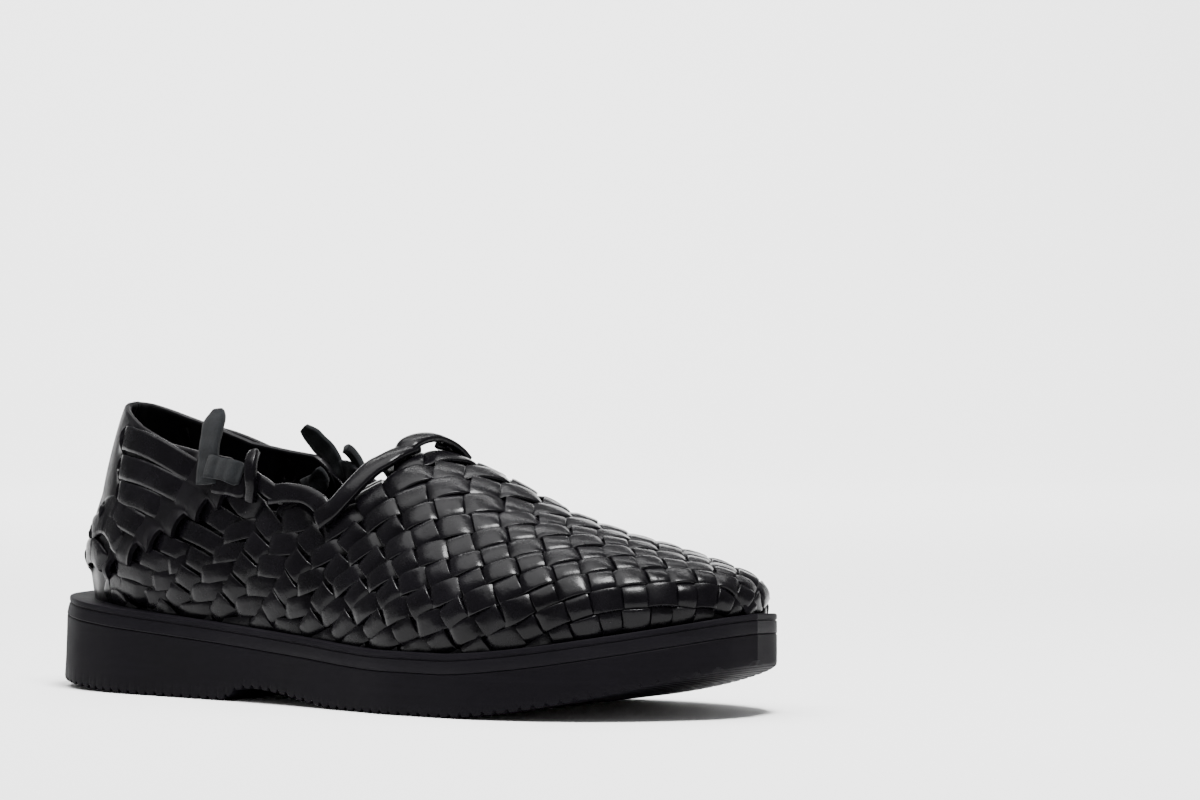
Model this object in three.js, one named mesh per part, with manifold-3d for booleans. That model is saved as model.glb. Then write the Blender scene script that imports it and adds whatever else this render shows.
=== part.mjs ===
// A woven leather shoe for the right foot, standing empty on its sole: a huarache with a closed toe,
// a slotted heel cap, a thong knotted on each side of the ankle and a one-colour rubber sole.
// Millimetres, +X to the toe, +Y to the inner side of the foot, +Z up.
import * as THREE from 'three';
import { mergeVertices } from 'three/addons/utils/BufferGeometryUtils.js';
import Module from 'manifold-3d';

const wasm = await Module();
wasm.setup();

// Main sizes
const LENGTH = 295;
const BALL_WIDTH = 106;
const HEEL_STACK = 34.5;
const TOE_SPRING = 18.2;
const HEEL_LIFT = 3;
const ARCH_RISE = 5;
const SOLE_FLARE = 2;
const COLLAR_HEIGHT = 106.5;
const GAP = 0.3;
const SMOOTH = 0.02;

// Sole layers
const MIDSOLE = 7;
const RIM_DROP = 2.2;
const RIM_GROOVE = 0.8;
const INSOLE = 2.4;
const INSOLE_CLEAR = 1.8;

// Leather
const WALL = 1.8;
const STRIP_RAISE = 1.2;
const WEAVE_PITCH = 10.2;
const WEAVE_GAP = 1.0;
const CAP_WALL = 2.8;
const CAP_STEP = 0.3;
const CAP_STRIP = 9.2;
const CAP_STRIP_RAISE = 1.5;
const TIE_WIDTH = 8.5;
const TIE_THICK = 2;
const STRAND_WIDTH = 8;
const STRAND_THICK = 2.2;

// Sole outline: share of the length, outer and inner half width as shares of the ball width
const OUTLINE = [
  { x: 0, lateral: 0, medial: 0 }, { x: 0.01, lateral: 0.118, medial: 0.118 },
  { x: 0.04, lateral: 0.226, medial: 0.226 }, { x: 0.09, lateral: 0.307, medial: 0.302 },
  { x: 0.16, lateral: 0.349, medial: 0.340 }, { x: 0.25, lateral: 0.363, medial: 0.344 },
  { x: 0.35, lateral: 0.382, medial: 0.335 }, { x: 0.45, lateral: 0.415, medial: 0.340 },
  { x: 0.55, lateral: 0.462, medial: 0.377 }, { x: 0.64, lateral: 0.5, medial: 0.434 },
  { x: 0.72, lateral: 0.5, medial: 0.481 }, { x: 0.80, lateral: 0.458, medial: 0.5 },
  { x: 0.87, lateral: 0.373, medial: 0.481 }, { x: 0.93, lateral: 0.245, medial: 0.425 },
  { x: 0.97, lateral: 0.113, medial: 0.344 }, { x: 0.99, lateral: 0.019, medial: 0.259 },
  { x: 1, lateral: -0.113, medial: 0.113 },
];
// Sole thickness over its flat underside, as a share of the heel's
const STACK = [
  { x: 0, t: 1 }, { x: 0.1525, t: 0.899 }, { x: 0.305, t: 0.812 }, { x: 0.4576, t: 0.719 },
  { x: 0.61, t: 0.638 }, { x: 0.729, t: 0.635 }, { x: 0.8475, t: 0.604 }, { x: 1, t: 0.513 },
];
// Underside: arch notch between these shares of the length, steep at the rear, gentle at the front
const ARCH = [
  { x: 0.335, z: 0 }, { x: 0.347, z: 0.3 }, { x: 0.366, z: 0.9 }, { x: 0.39, z: 1 },
  { x: 0.43, z: 0.82 }, { x: 0.48, z: 0.36 }, { x: 0.515, z: 0.1 }, { x: 0.545, z: 0 },
];
const SPRING_START = 0.696;
const SPRING_POWER = 1.6;
const HEEL_FLAT = 0.2;

// Last: the upper's outer face. Heights are shares of the collar height.
const HEEL_CENTRE = 0.1424;
const TOE_CENTRE = 0.8;
const TOE_SLOPE = -0.26;
const SPINE = [
  { x: 0, y: 0 }, { x: 0.2, y: -0.01 }, { x: 0.4, y: -0.01 }, { x: 0.61, y: 0.045 },
  { x: 0.8, y: 0.047 }, { x: 1, y: 0.075 },
];
const RIDGE = [
  { x: 0, z: 1.14 }, { x: 0.1424, z: 1.14 }, { x: 0.271, z: 1.1 }, { x: 0.373, z: 1.033 },
  { x: 0.4576, z: 0.912 }, { x: 0.5085, z: 0.862 }, { x: 0.5593, z: 0.838 }, { x: 0.627, z: 0.778 },
  { x: 0.712, z: 0.668 }, { x: 0.8, z: 0.592 }, { x: 1, z: 0.445 },
];
// Roundness of the profile's side and top, its bulge and its distance inside the sole's edge
const ROUND = [
  { x: 0, side: 2.2, top: 2.0 }, { x: 0.2, side: 2.2, top: 2.0 }, { x: 0.373, side: 2.3, top: 1.9 },
  { x: 0.5085, side: 2.3, top: 1.8 }, { x: 0.644, side: 2.3, top: 2.1 }, { x: 0.8, side: 2.3, top: 2.35 },
  { x: 1, side: 2.3, top: 2.35 },
];
const BULGE = [
  { x: 0, out: 3.0 }, { x: 0.2, out: 2.5 }, { x: 0.373, out: 1.5 }, { x: 0.542, out: 1.5 },
  { x: 0.678, out: 2.5 }, { x: 0.8, out: 3.0 }, { x: 1, out: 3.0 },
];
const LEDGE = [
  { x: 0, in: 10 }, { x: 0.068, in: 10 }, { x: 0.203, in: 6 }, { x: 0.407, in: 4.5 },
  { x: 0.678, in: 4 }, { x: 1, in: 3.5 },
];
const BULGE_HEIGHT = 38;

// Edges in the side view, shares of length and of collar height
const COLLAR_LINE = [
  { x: -0.07, z: 1.03 }, { x: 0.07, z: 1 }, { x: 0.146, z: 0.911 }, { x: 0.21, z: 0.85 },
  { x: 0.27, z: 0.822 }, { x: 0.31, z: 0.808 }, { x: 0.34, z: 0.765 },
];
const CAP_FRONT = [
  { x: 0.34, z: 0.765 }, { x: 0.329, z: 0.676 }, { x: 0.254, z: 0.563 }, { x: 0.186, z: 0.47 },
  { x: 0.142, z: 0.376 },
];
const CAP_FOOT = 0.125;
const TOPLINE = [
  { x: 0.343, z: 0.735 }, { x: 0.39, z: 0.704 }, { x: 0.447, z: 0.657 }, { x: 0.485, z: 0.634 },
  { x: 0.502, z: 0.676 }, { x: 0.515, z: 0.751 }, { x: 0.532, z: 0.817 }, { x: 0.54, z: 0.9 },
  { x: 0.542, z: 1.4 },
];
// Strips over the heel cap, each from the slit at its back to the slit at its front
const CAP_STRIPS = [
  { backX: 0.119, backZ: 0.869, frontX: 0.252, frontZ: 0.77 },
  { backX: 0.122, backZ: 0.77, frontX: 0.238, frontZ: 0.7 },
  { backX: 0.125, backZ: 0.685, frontX: 0.207, frontZ: 0.64 },
  { backX: 0.095, backZ: 0.615, frontX: 0.178, frontZ: 0.573 },
  { backX: 0.07, backZ: 0.54, frontX: 0.142, frontZ: 0.512 },
  { backX: 0.055, backZ: 0.455, frontX: 0.103, frontZ: 0.448 },
];
// The outer thong: an end that stands up, a turn across the cap's corner and a narrow loop before it
const TIE_END = [
  { x: 0.288, z: 0.72 }, { x: 0.286, z: 0.8 }, { x: 0.283, z: 0.88 }, { x: 0.278, z: 0.965 },
];
const TIE_TURN = [{ x: 0.29, z: 0.775 }, { x: 0.318, z: 0.765 }, { x: 0.345, z: 0.75 }];
const TIE_LOOP = [{ x: 0.362, z: 0.68 }, { x: 0.36, z: 0.75 }, { x: 0.357, z: 0.82 }];
// The inner thong: an end that leans back and a knot inside the collar
const TIE_INNER_END = [
  { x: 0.33, z: 0.72 }, { x: 0.325, z: 0.78 }, { x: 0.308, z: 0.84 }, { x: 0.29, z: 0.9 },
];
const TIE_KNOT = [{ x: 0.305, z: 0.7 }, { x: 0.322, z: 0.73 }, { x: 0.318, z: 0.765 }];
const KNOT_WIDTH = 9;
const KNOT_THICK = 4;
// Strands along the throat's edge on each side, and the strip looped over its middle, with places
// across as shares of the ball's width and lifts as shares of the loop's rise
const STRAND = [
  { x: 0.475, z: 0.615 }, { x: 0.49, z: 0.64 }, { x: 0.503, z: 0.68 }, { x: 0.516, z: 0.735 },
  { x: 0.525, z: 0.775 }, { x: 0.533, z: 0.795 },
];
const LOOP_RISE = 5.2;
const LOOP = [
  { x: 0.537, across: -0.1132, lift: 0.088 }, { x: 0.538, across: -0.0896, lift: 0.647 },
  { x: 0.54, across: -0.0472, lift: 0.971 }, { x: 0.543, across: 0, lift: 1 },
  { x: 0.547, across: 0.0472, lift: 0.765 }, { x: 0.552, across: 0.0943, lift: 0.353 },
  { x: 0.555, across: 0.1321, lift: 0.088 },
];
// Weave: where strips cross on the outer side. The strips' own distances from the first strip, one for
// those that run down and forward and one for those that run up, then the place along the foot and the
// drop from the ridge, all as shares of the length
const WEAVE_CROSSINGS = [
  { down: 0.104, up: 0.277, x: 0.05, drop: 0.257 }, { down: 0.104, up: 0.519, x: 0.332, drop: 0.309 },
  { down: 0.104, up: 0.761, x: 0.408, drop: 0.468 }, { down: 0.38, up: 0.277, x: 0.465, drop: -0.01 },
  { down: 0.38, up: 0.519, x: 0.643, drop: 0.137 }, { down: 0.38, up: 0.761, x: 0.771, drop: 0.272 },
  { down: 0.657, up: 0.277, x: 0.631, drop: -0.497 }, { down: 0.657, up: 0.519, x: 0.818, drop: -0.154 },
  { down: 0.657, up: 0.761, x: 0.996, drop: 0.054 },
];
const WEAVE_BLEND = 0.145;

// A smooth curve through one column of a table, with no overshoot
function curve(table, key, name = 'x') {
  const xs = table.map((row) => row[name]);
  const ys = table.map((row) => row[key]);
  const n = xs.length;
  const step = [];
  for (let i = 0; i < n - 1; i++) step.push((ys[i + 1] - ys[i]) / (xs[i + 1] - xs[i]));
  const slope = [step[0]];
  for (let i = 1; i < n - 1; i++) {
    const same = step[i - 1] * step[i] > 0;
    const a = 2 * (xs[i + 1] - xs[i]) + (xs[i] - xs[i - 1]);
    const b = (xs[i + 1] - xs[i]) + 2 * (xs[i] - xs[i - 1]);
    slope.push(same ? (a + b) / (a / step[i - 1] + b / step[i]) : 0);
  }
  slope.push(step[n - 2]);
  return (x) => {
    let i = 0;
    while (i < n - 2 && x > xs[i + 1]) i++;
    const h = xs[i + 1] - xs[i];
    const t = Math.min(Math.max((x - xs[i]) / h, 0), 1);
    const t2 = t * t;
    const t3 = t2 * t;
    return (2 * t3 - 3 * t2 + 1) * ys[i] + (t3 - 2 * t2 + t) * h * slope[i]
      + (3 * t2 - 2 * t3) * ys[i + 1] + (t3 - t2) * h * slope[i + 1];
  };
}

const lateralOf = curve(OUTLINE, 'lateral');
const medialOf = curve(OUTLINE, 'medial');
const stackOf = curve(STACK, 't');
const archOf = curve(ARCH, 'z');
const spineOf = curve(SPINE, 'y');
const ridgeOf = curve(RIDGE, 'z');
const sideOf = curve(ROUND, 'side');
const topOf = curve(ROUND, 'top');
const bulgeOf = curve(BULGE, 'out');
const ledgeOf = curve(LEDGE, 'in');

const clamp = (x, a, b) => Math.min(Math.max(x, a), b);
const mix = (a, b, t) => a + (b - a) * t;
const share = (x) => clamp(x / LENGTH, 0, 1);
const spring = (x) => TOE_SPRING
  * clamp((share(x) - SPRING_START) / (1 - SPRING_START), 0, 1) ** SPRING_POWER;
const soleTop = (x) => HEEL_STACK * stackOf(share(x)) + spring(x);
function soleBottom(x) {
  const heel = HEEL_LIFT * clamp(1 - share(x) / HEEL_FLAT, 0, 1) ** 1.5;
  const inArch = share(x) > ARCH[0].x && share(x) < ARCH[ARCH.length - 1].x;
  return spring(x) + heel + (inArch ? ARCH_RISE * archOf(share(x)) : 0);
}

// Outline stations: shares of the length with both edges' points
function stations(count, extra = []) {
  const list = [...extra];
  for (let i = 0; i <= count; i++) list.push((1 - Math.cos(Math.PI * i / count)) / 2);
  return [...new Set(list.map((s) => Math.round(s * 1e5) / 1e5))].sort((a, b) => a - b);
}
const SOLE_STATIONS = stations(44, ARCH.map((row) => row.x).concat([HEEL_FLAT, SPRING_START]));

// Both edges of the sole moved in by a distance that may change along the length
function edges(list, inset) {
  const loop = [];
  list.forEach((s) => loop.push([s * LENGTH, -lateralOf(s) * BALL_WIDTH]));
  [...list].reverse().slice(1, -1).forEach((s) => loop.push([s * LENGTH, medialOf(s) * BALL_WIDTH]));
  const n = loop.length;
  const moved = loop.map((p, i) => {
    const a = loop[(i + n - 1) % n];
    const b = loop[(i + 1) % n];
    const dx = b[0] - a[0];
    const dy = b[1] - a[1];
    const size = Math.hypot(dx, dy);
    const d = inset(p[0]);
    return [p[0] - dy / size * d, p[1] + dx / size * d];
  });
  const lateral = moved.slice(0, list.length);
  const medial = [moved[0], ...moved.slice(list.length).reverse(), moved[list.length - 1]];
  return { lateral, medial, loop: moved };
}

// A closed body of stacked levels, each with its edges and its height over the outline
function layered(list, levels) {
  const points = [];
  const faces = [];
  const rows = levels.map((level) => {
    const { lateral, medial } = edges(list, level.inset);
    const put = (p) => points.push([p[0], p[1], level.z(p[0])]) - 1;
    const left = lateral.map(put);
    const right = medial.map((p, i) => (i === 0 || i === list.length - 1 ? left[i] : put(p)));
    return { left, right };
  });
  const tri = (a, b, c) => {
    if (a !== b && b !== c && a !== c) faces.push([a, b, c]);
  };
  const quad = (a, b, c, d) => {
    tri(a, b, c);
    tri(a, c, d);
  };
  const low = rows[0];
  const high = rows[rows.length - 1];
  for (let i = 0; i < list.length - 1; i++) {
    quad(high.left[i], high.left[i + 1], high.right[i + 1], high.right[i]);
    quad(low.left[i], low.right[i], low.right[i + 1], low.left[i + 1]);
    for (let k = 0; k < rows.length - 1; k++) {
      quad(rows[k].left[i], rows[k].left[i + 1], rows[k + 1].left[i + 1], rows[k + 1].left[i]);
      quad(rows[k].right[i + 1], rows[k].right[i], rows[k + 1].right[i], rows[k + 1].right[i + 1]);
    }
  }
  return geometryOf(points, faces);
}

function geometryOf(points, faces) {
  const geometry = new THREE.BufferGeometry();
  geometry.setAttribute('position', new THREE.Float32BufferAttribute(points.flat(), 3));
  geometry.setIndex(faces.flat());
  return geometry;
}
function solidOf(geometry) {
  const bare = geometry.clone();
  bare.deleteAttribute('normal');
  bare.deleteAttribute('uv');
  const merged = mergeVertices(bare, 1e-5);
  return new wasm.Manifold(new wasm.Mesh({
    numProp: 3,
    vertProperties: new Float32Array(merged.attributes.position.array),
    triVerts: new Uint32Array(merged.index.array),
  }));
}
function geometryFrom(solid) {
  const mesh = solid.getMesh();
  const geometry = new THREE.BufferGeometry();
  geometry.setAttribute('position', new THREE.Float32BufferAttribute(mesh.vertProperties, 3));
  geometry.setIndex(Array.from(mesh.triVerts));
  return geometry;
}
function largest(solid) {
  const pieces = solid.asOriginal().simplify(SMOOTH).decompose();
  return pieces.sort((a, b) => b.volume() - a.volume())[0];
}

// Side-view outline pushed straight through the shoe
function prism(outline) {
  const half = BALL_WIDTH;
  const flat = outline.map(([x, z]) => new THREE.Vector2(x, z));
  const ccw = THREE.ShapeUtils.area(flat) > 0 ? flat : flat.reverse();
  const caps = THREE.ShapeUtils.triangulateShape(ccw, []);
  const n = ccw.length;
  const points = [...ccw.map((p) => [p.x, -half, p.y]), ...ccw.map((p) => [p.x, half, p.y])];
  const faces = [];
  caps.forEach(([a, b, c]) => {
    faces.push([a, b, c]);
    faces.push([n + a, n + c, n + b]);
  });
  for (let i = 0; i < n; i++) {
    const j = (i + 1) % n;
    faces.push([i, n + i, n + j], [i, n + j, j]);
  }
  return solidOf(geometryOf(points, faces));
}

// The last's outer face in developed coordinates: u along the foot, v across from the ridge
const U_HEEL = HEEL_CENTRE * LENGTH;
const U_TOE = TOE_CENTRE * LENGTH;
const LEDGE_EDGES = edges(stations(120), (x) => ledgeOf(share(x)));
function reach(cx, cy, phi, mid) {
  if (mid) {
    const side = Math.sin(phi) < 0 ? LEDGE_EDGES.lateral : LEDGE_EDGES.medial;
    let i = 0;
    while (i < side.length - 2 && cx > side[i + 1][0]) i++;
    const t = (cx - side[i][0]) / (side[i + 1][0] - side[i][0]);
    return Math.abs(mix(side[i][1], side[i + 1][1], t) - cy);
  }
  const loop = LEDGE_EDGES.loop;
  const dx = Math.cos(phi);
  const dy = Math.sin(phi);
  let best = 0;
  for (let i = 0; i < loop.length; i++) {
    const a = loop[i];
    const b = loop[(i + 1) % loop.length];
    const ex = b[0] - a[0];
    const ey = b[1] - a[1];
    const det = dx * -ey + dy * ex;
    if (Math.abs(det) < 1e-12) continue;
    const ax = a[0] - cx;
    const ay = a[1] - cy;
    const along = (ax * -ey + ay * ex) / det;
    const across = (dx * ay - dy * ax) / det;
    if (along > best && across >= -1e-9 && across <= 1 + 1e-9) best = along;
  }
  return best;
}
const SAMPLES = 36;
const profiles = new Map();
function profile(cx, phi) {
  const key = `${cx.toFixed(3)},${phi.toFixed(4)}`;
  if (profiles.has(key)) return profiles.get(key);
  const s = share(cx);
  const cy = spineOf(s) * BALL_WIDTH;
  const inToe = cx >= U_TOE;
  const mid = cx > U_HEEL && !inToe;
  const width = reach(cx, cy, phi, mid);
  const base = soleTop(cx + width * Math.cos(phi));
  const rise = ridgeOf(s) * COLLAR_HEIGHT - base;
  const points = [];
  let run = 0;
  for (let i = 0; i < SAMPLES; i++) {
    const angle = Math.PI / 2 * (1 - i / (SAMPLES - 1));
    const c = Math.max(Math.cos(angle), 0) ** (2 / sideOf(s));
    const h = Math.max(Math.sin(angle), 0) ** (2 / topOf(s));
    const lean = inToe ? TOE_SLOPE * width * c * Math.cos(phi) * (1 - c * c) : 0;
    const z = base + rise * h + lean;
    const swell = Math.sin(Math.PI * clamp((z - base) / BULGE_HEIGHT, 0, 1));
    const r = width * c + bulgeOf(s) * swell * c;
    if (i > 0) run += Math.hypot(r - points[i - 1].r, z - points[i - 1].z);
    points.push({ r, z, run });
  }
  const found = { cx, cy, phi, points, run };
  profiles.set(key, found);
  return found;
}
function along(line, distance) {
  const { points } = line;
  if (distance > line.run) {
    const last = points[points.length - 1];
    return { r: last.r, z: last.z - (distance - line.run) };
  }
  let i = 0;
  while (i < points.length - 2 && distance > points[i + 1].run) i++;
  const t = (distance - points[i].run) / (points[i + 1].run - points[i].run);
  return { r: mix(points[i].r, points[i + 1].r, t), z: mix(points[i].z, points[i + 1].z, t) };
}
function lineAt(u, v) {
  const cx = clamp(u, U_HEEL, U_TOE);
  const across = Math.abs(v) < 1e-6 ? 1e-6 : v;
  return { line: profile(cx, Math.atan2(across, u - cx)), distance: Math.hypot(u - cx, across) };
}
function facePoint(u, v) {
  const { line, distance } = lineAt(u, v);
  const p = along(line, distance);
  return new THREE.Vector3(line.cx + p.r * Math.cos(line.phi), line.cy + p.r * Math.sin(line.phi), p.z);
}
function face(u, v, lift) {
  const e = 0.6;
  const du = facePoint(u + e, v).sub(facePoint(u - e, v));
  const dv = facePoint(u, v + e).sub(facePoint(u, v - e));
  const normal = du.cross(dv).normalize();
  return { at: facePoint(u, v).addScaledVector(normal, lift), normal };
}

// Weave: parabolas through the nine crossings in both directions, mirrored on the inner side and
// blended over the ridge
const downAt = [0, 3, 6].map((k) => WEAVE_CROSSINGS[k].down);
const upAt = [0, 1, 2].map((k) => WEAVE_CROSSINGS[k].up);
const parabola = (x, places) => places.map((here, k) => places.reduce(
  (part, other, m) => (m === k ? part : part * (x - other) / (here - other)), 1));
function sideWeave(down, up) {
  const byDown = parabola(down, downAt);
  const byUp = parabola(up, upAt);
  let u = 0;
  let w = 0;
  WEAVE_CROSSINGS.forEach((row, k) => {
    const part = byDown[Math.floor(k / 3)] * byUp[k % 3];
    u += part * row.x * LENGTH;
    w += part * row.drop * LENGTH;
  });
  return { u, w };
}
function weave(i, j) {
  const a = i * WEAVE_PITCH / LENGTH;
  const b = j * WEAVE_PITCH / LENGTH;
  const outer = sideWeave(a, b);
  const inner = sideWeave(b, a);
  const m = clamp((a - b) / (2 * WEAVE_BLEND) + 0.5, 0, 1);
  const t = m * m * (3 - 2 * m);
  return { u: mix(outer.u, inner.u, t), v: mix(-outer.w, inner.w, t) };
}
function wovenWall() {
  const points = [];
  const faces = [];
  const index = new Map();
  const edge = (WEAVE_GAP / 2 + STRIP_RAISE * 0.55) / WEAVE_PITCH;
  const place = [0, edge, 1 - edge];
  const vertex = (kind, gi, gj) => {
    const key = `${kind},${gi},${gj}`;
    if (index.has(key)) return index.get(key);
    const i = Math.floor(gi / 3);
    const j = Math.floor(gj / 3);
    const a = gi - 3 * i;
    const b = gj - 3 * j;
    const { u, v } = weave(i + place[a], j + place[b]);
    const top = a > 0 && b > 0 ? 0 : -STRIP_RAISE;
    const lift = kind === 'in' ? -STRIP_RAISE - WALL : top;
    const { at } = face(u, v, lift);
    index.set(key, points.push([at.x, at.y, at.z]) - 1);
    return index.get(key);
  };
  const inside = (i, j) => {
    const { u, v } = weave(i + 0.5, j + 0.5);
    const { line, distance } = lineAt(u, v);
    return u > 0.08 * LENGTH && distance < line.run + WEAVE_PITCH;
  };
  const cells = new Set();
  const span = Math.ceil(LENGTH / WEAVE_PITCH);
  const first = -Math.ceil(span / 6);
  for (let i = first; i <= span; i++) {
    for (let j = first; j <= span; j++) if (inside(i, j)) cells.add(`${i},${j}`);
  }
  const has = (i, j) => cells.has(`${i},${j}`);
  cells.forEach((name) => {
    const [i, j] = name.split(',').map(Number);
    for (let a = 0; a < 3; a++) {
      for (let b = 0; b < 3; b++) {
        const p = vertex('out', 3 * i + a, 3 * j + b);
        const q = vertex('out', 3 * i + a + 1, 3 * j + b);
        const r = vertex('out', 3 * i + a + 1, 3 * j + b + 1);
        const s = vertex('out', 3 * i + a, 3 * j + b + 1);
        faces.push([p, r, q], [p, s, r]);
      }
    }
    const p = vertex('in', 3 * i, 3 * j);
    const q = vertex('in', 3 * i + 3, 3 * j);
    const r = vertex('in', 3 * i + 3, 3 * j + 3);
    const s = vertex('in', 3 * i, 3 * j + 3);
    faces.push([p, q, r], [p, r, s]);
    // Rim where no neighbour follows: outer points from start to end, inner points back
    const rim = (outer, from, to) => {
      for (let k = 0; k < 3; k++) faces.push([outer[k], outer[k + 1], k < 2 ? from : to]);
      faces.push([outer[2], to, from]);
    };
    const walk = (gi, gj, di, dj) => [0, 1, 2, 3].map((k) => vertex('out', gi + k * di, gj + k * dj));
    if (!has(i, j - 1)) rim(walk(3 * i, 3 * j, 1, 0), p, q);
    if (!has(i + 1, j)) rim(walk(3 * i + 3, 3 * j, 0, 1), q, r);
    if (!has(i, j + 1)) rim(walk(3 * i + 3, 3 * j + 3, -1, 0), r, s);
    if (!has(i - 1, j)) rim(walk(3 * i, 3 * j + 3, 0, -1), s, p);
  });
  return solidOf(geometryOf(points, faces));
}

// A wall between two closed sheets on one grid of points
function wall(outer, inner) {
  const rows = outer.length;
  const columns = outer[0].length;
  const points = [...outer.flat(), ...inner.flat()].map((p) => [p.x, p.y, p.z]);
  const out = (i, j) => i * columns + j;
  const into = (i, j) => rows * columns + i * columns + j;
  const faces = [];
  const quad = (a, b, c, d) => faces.push([a, b, c], [a, c, d]);
  for (let i = 0; i < rows - 1; i++) {
    for (let j = 0; j < columns - 1; j++) {
      quad(out(i, j), out(i, j + 1), out(i + 1, j + 1), out(i + 1, j));
      quad(into(i, j), into(i + 1, j), into(i + 1, j + 1), into(i, j + 1));
    }
    quad(out(i, 0), out(i + 1, 0), into(i + 1, 0), into(i, 0));
    quad(out(i + 1, columns - 1), out(i, columns - 1), into(i, columns - 1), into(i + 1, columns - 1));
  }
  for (let j = 0; j < columns - 1; j++) {
    quad(out(0, j + 1), out(0, j), into(0, j), into(0, j + 1));
    quad(out(rows - 1, j), out(rows - 1, j + 1), into(rows - 1, j + 1), into(rows - 1, j));
  }
  return geometryOf(points, faces);
}

// A flat strip along a path: at each step its middle, its width direction and its face direction
function strip(steps, width, under, over) {
  const outer = steps.map(({ at, side, normal, wide = 1 }) => [-1, 1].map((k) => at.clone()
    .addScaledVector(side, k * width / 2 * wide).addScaledVector(normal, over)));
  const inner = steps.map(({ at, side, normal, wide = 1 }) => [-1, 1].map((k) => at.clone()
    .addScaledVector(side, k * width / 2 * wide).addScaledVector(normal, -under)));
  return wall(outer, inner);
}

// Developed place of a point given in the side view, on the outer (-1) or inner (1) side
function locate(x, z, side) {
  const drop = (cx, phi) => {
    const line = profile(cx, phi);
    let low = 0;
    let high = line.run;
    for (let i = 0; i < 24; i++) {
      const m = (low + high) / 2;
      if (along(line, m).z > z) low = m;
      else high = m;
    }
    return low;
  };
  if (x >= U_HEEL) return { u: x, v: side * drop(x, side * Math.PI / 2) };
  let low = 0.5 * Math.PI;
  let high = 0.98 * Math.PI;
  const xAt = (angle) => {
    const phi = side * angle;
    return U_HEEL + along(profile(U_HEEL, phi), drop(U_HEEL, phi)).r * Math.cos(phi);
  };
  for (let i = 0; i < 20; i++) {
    const m = (low + high) / 2;
    if (xAt(m) > x) low = m;
    else high = m;
  }
  const phi = side * low;
  const r = drop(U_HEEL, phi);
  return { u: U_HEEL + r * Math.cos(phi), v: r * Math.sin(phi) };
}
function surfaceSteps(places, base) {
  const spots = places.map(({ u, v, lift = 0 }) => face(u, v, base + lift));
  return spots.map(({ at, normal }, i) => {
    const a = spots[Math.max(i - 1, 0)].at;
    const b = spots[Math.min(i + 1, spots.length - 1)].at;
    const side = b.clone().sub(a).cross(normal).normalize();
    return { at, normal, side };
  });
}

const at = (row) => [row.x * LENGTH, row.z * COLLAR_HEIGHT];
const floorLine = (from, to, count) => Array.from({ length: count + 1 }, (_, i) => {
  const x = mix(from, to, i / count);
  return [x, soleTop(x) + GAP];
});

// Sole
const flareOf = (x) => -SOLE_FLARE * clamp(1 - share(x) / 0.5, 0, 1);
const half = (x) => mix(flareOf(x), 0, 0.5);
const seam = (x) => soleTop(x) - MIDSOLE;
const outsole = layered(SOLE_STATIONS, [
  { inset: (x) => flareOf(x) + 0.8, z: soleBottom },
  { inset: flareOf, z: (x) => soleBottom(x) + 1.5 },
  { inset: half, z: (x) => seam(x) - 1 },
  { inset: (x) => half(x) + 0.6, z: (x) => seam(x) - GAP },
]);
const midsole = layered(stations(40), [
  { inset: (x) => half(x) + 0.6, z: seam },
  { inset: half, z: (x) => seam(x) + 0.7 },
  { inset: () => 0, z: (x) => soleTop(x) - RIM_DROP - RIM_GROOVE },
  { inset: () => RIM_GROOVE, z: (x) => soleTop(x) - RIM_DROP },
  { inset: () => 0, z: (x) => soleTop(x) - RIM_DROP + RIM_GROOVE },
  { inset: () => 0, z: (x) => soleTop(x) - 0.6 },
  { inset: () => 0.6, z: soleTop },
]);
const insoleInset = (x) => ledgeOf(share(x)) + STRIP_RAISE + WALL + INSOLE_CLEAR;
const insole = layered(stations(32), [
  { inset: insoleInset, z: (x) => soleTop(x) + GAP },
  { inset: insoleInset, z: (x) => soleTop(x) + GAP + INSOLE },
]);

// Upper: the woven wall kept between the sole, the top line and the heel cap
const upperKeep = prism([
  ...floorLine(CAP_FOOT * LENGTH + GAP, 1.05 * LENGTH, 40),
  [1.05 * LENGTH, 1.4 * COLLAR_HEIGHT],
  ...[...TOPLINE].reverse().map(at),
  ...CAP_FRONT.slice(1).map(at).map(([x, z]) => [x + GAP, z - GAP]),
]);
const upper = largest(wovenWall().intersect(upperKeep));

// Heel cap: a plain wall around the heel with raised strips on each side
const capPlaces = [];
for (let i = 0; i <= 10; i++) capPlaces.push([mix(0.4 * LENGTH, U_HEEL, i / 10), -Math.PI / 2]);
for (let i = 1; i < 16; i++) capPlaces.push([U_HEEL, -Math.PI / 2 - Math.PI * i / 16]);
for (let i = 0; i <= 10; i++) capPlaces.push([mix(U_HEEL, 0.4 * LENGTH, i / 10), Math.PI / 2]);
const CAP_ROWS = 13;
const capSheet = (lift) => Array.from({ length: CAP_ROWS + 1 }, (_, j) => capPlaces.map(([cx, phi]) => {
  const angle = phi < -Math.PI ? phi + 2 * Math.PI : phi;
  const line = profile(cx, angle);
  const r = mix(0.12 * line.run, line.run + 6, j / CAP_ROWS);
  return face(cx + r * Math.cos(angle), r * Math.sin(angle), lift).at;
}));
let cap = solidOf(wall(capSheet(CAP_STEP), capSheet(CAP_STEP - CAP_WALL)));
for (const side of [-1, 1]) {
  for (const row of CAP_STRIPS) {
    const places = Array.from({ length: 9 }, (_, i) => locate(mix(row.backX, row.frontX, i / 8) * LENGTH,
      mix(row.backZ, row.frontZ, i / 8) * COLLAR_HEIGHT, side));
    cap = cap.add(solidOf(strip(surfaceSteps(places, CAP_STEP), CAP_STRIP, 1, CAP_STRIP_RAISE)));
  }
}
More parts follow.
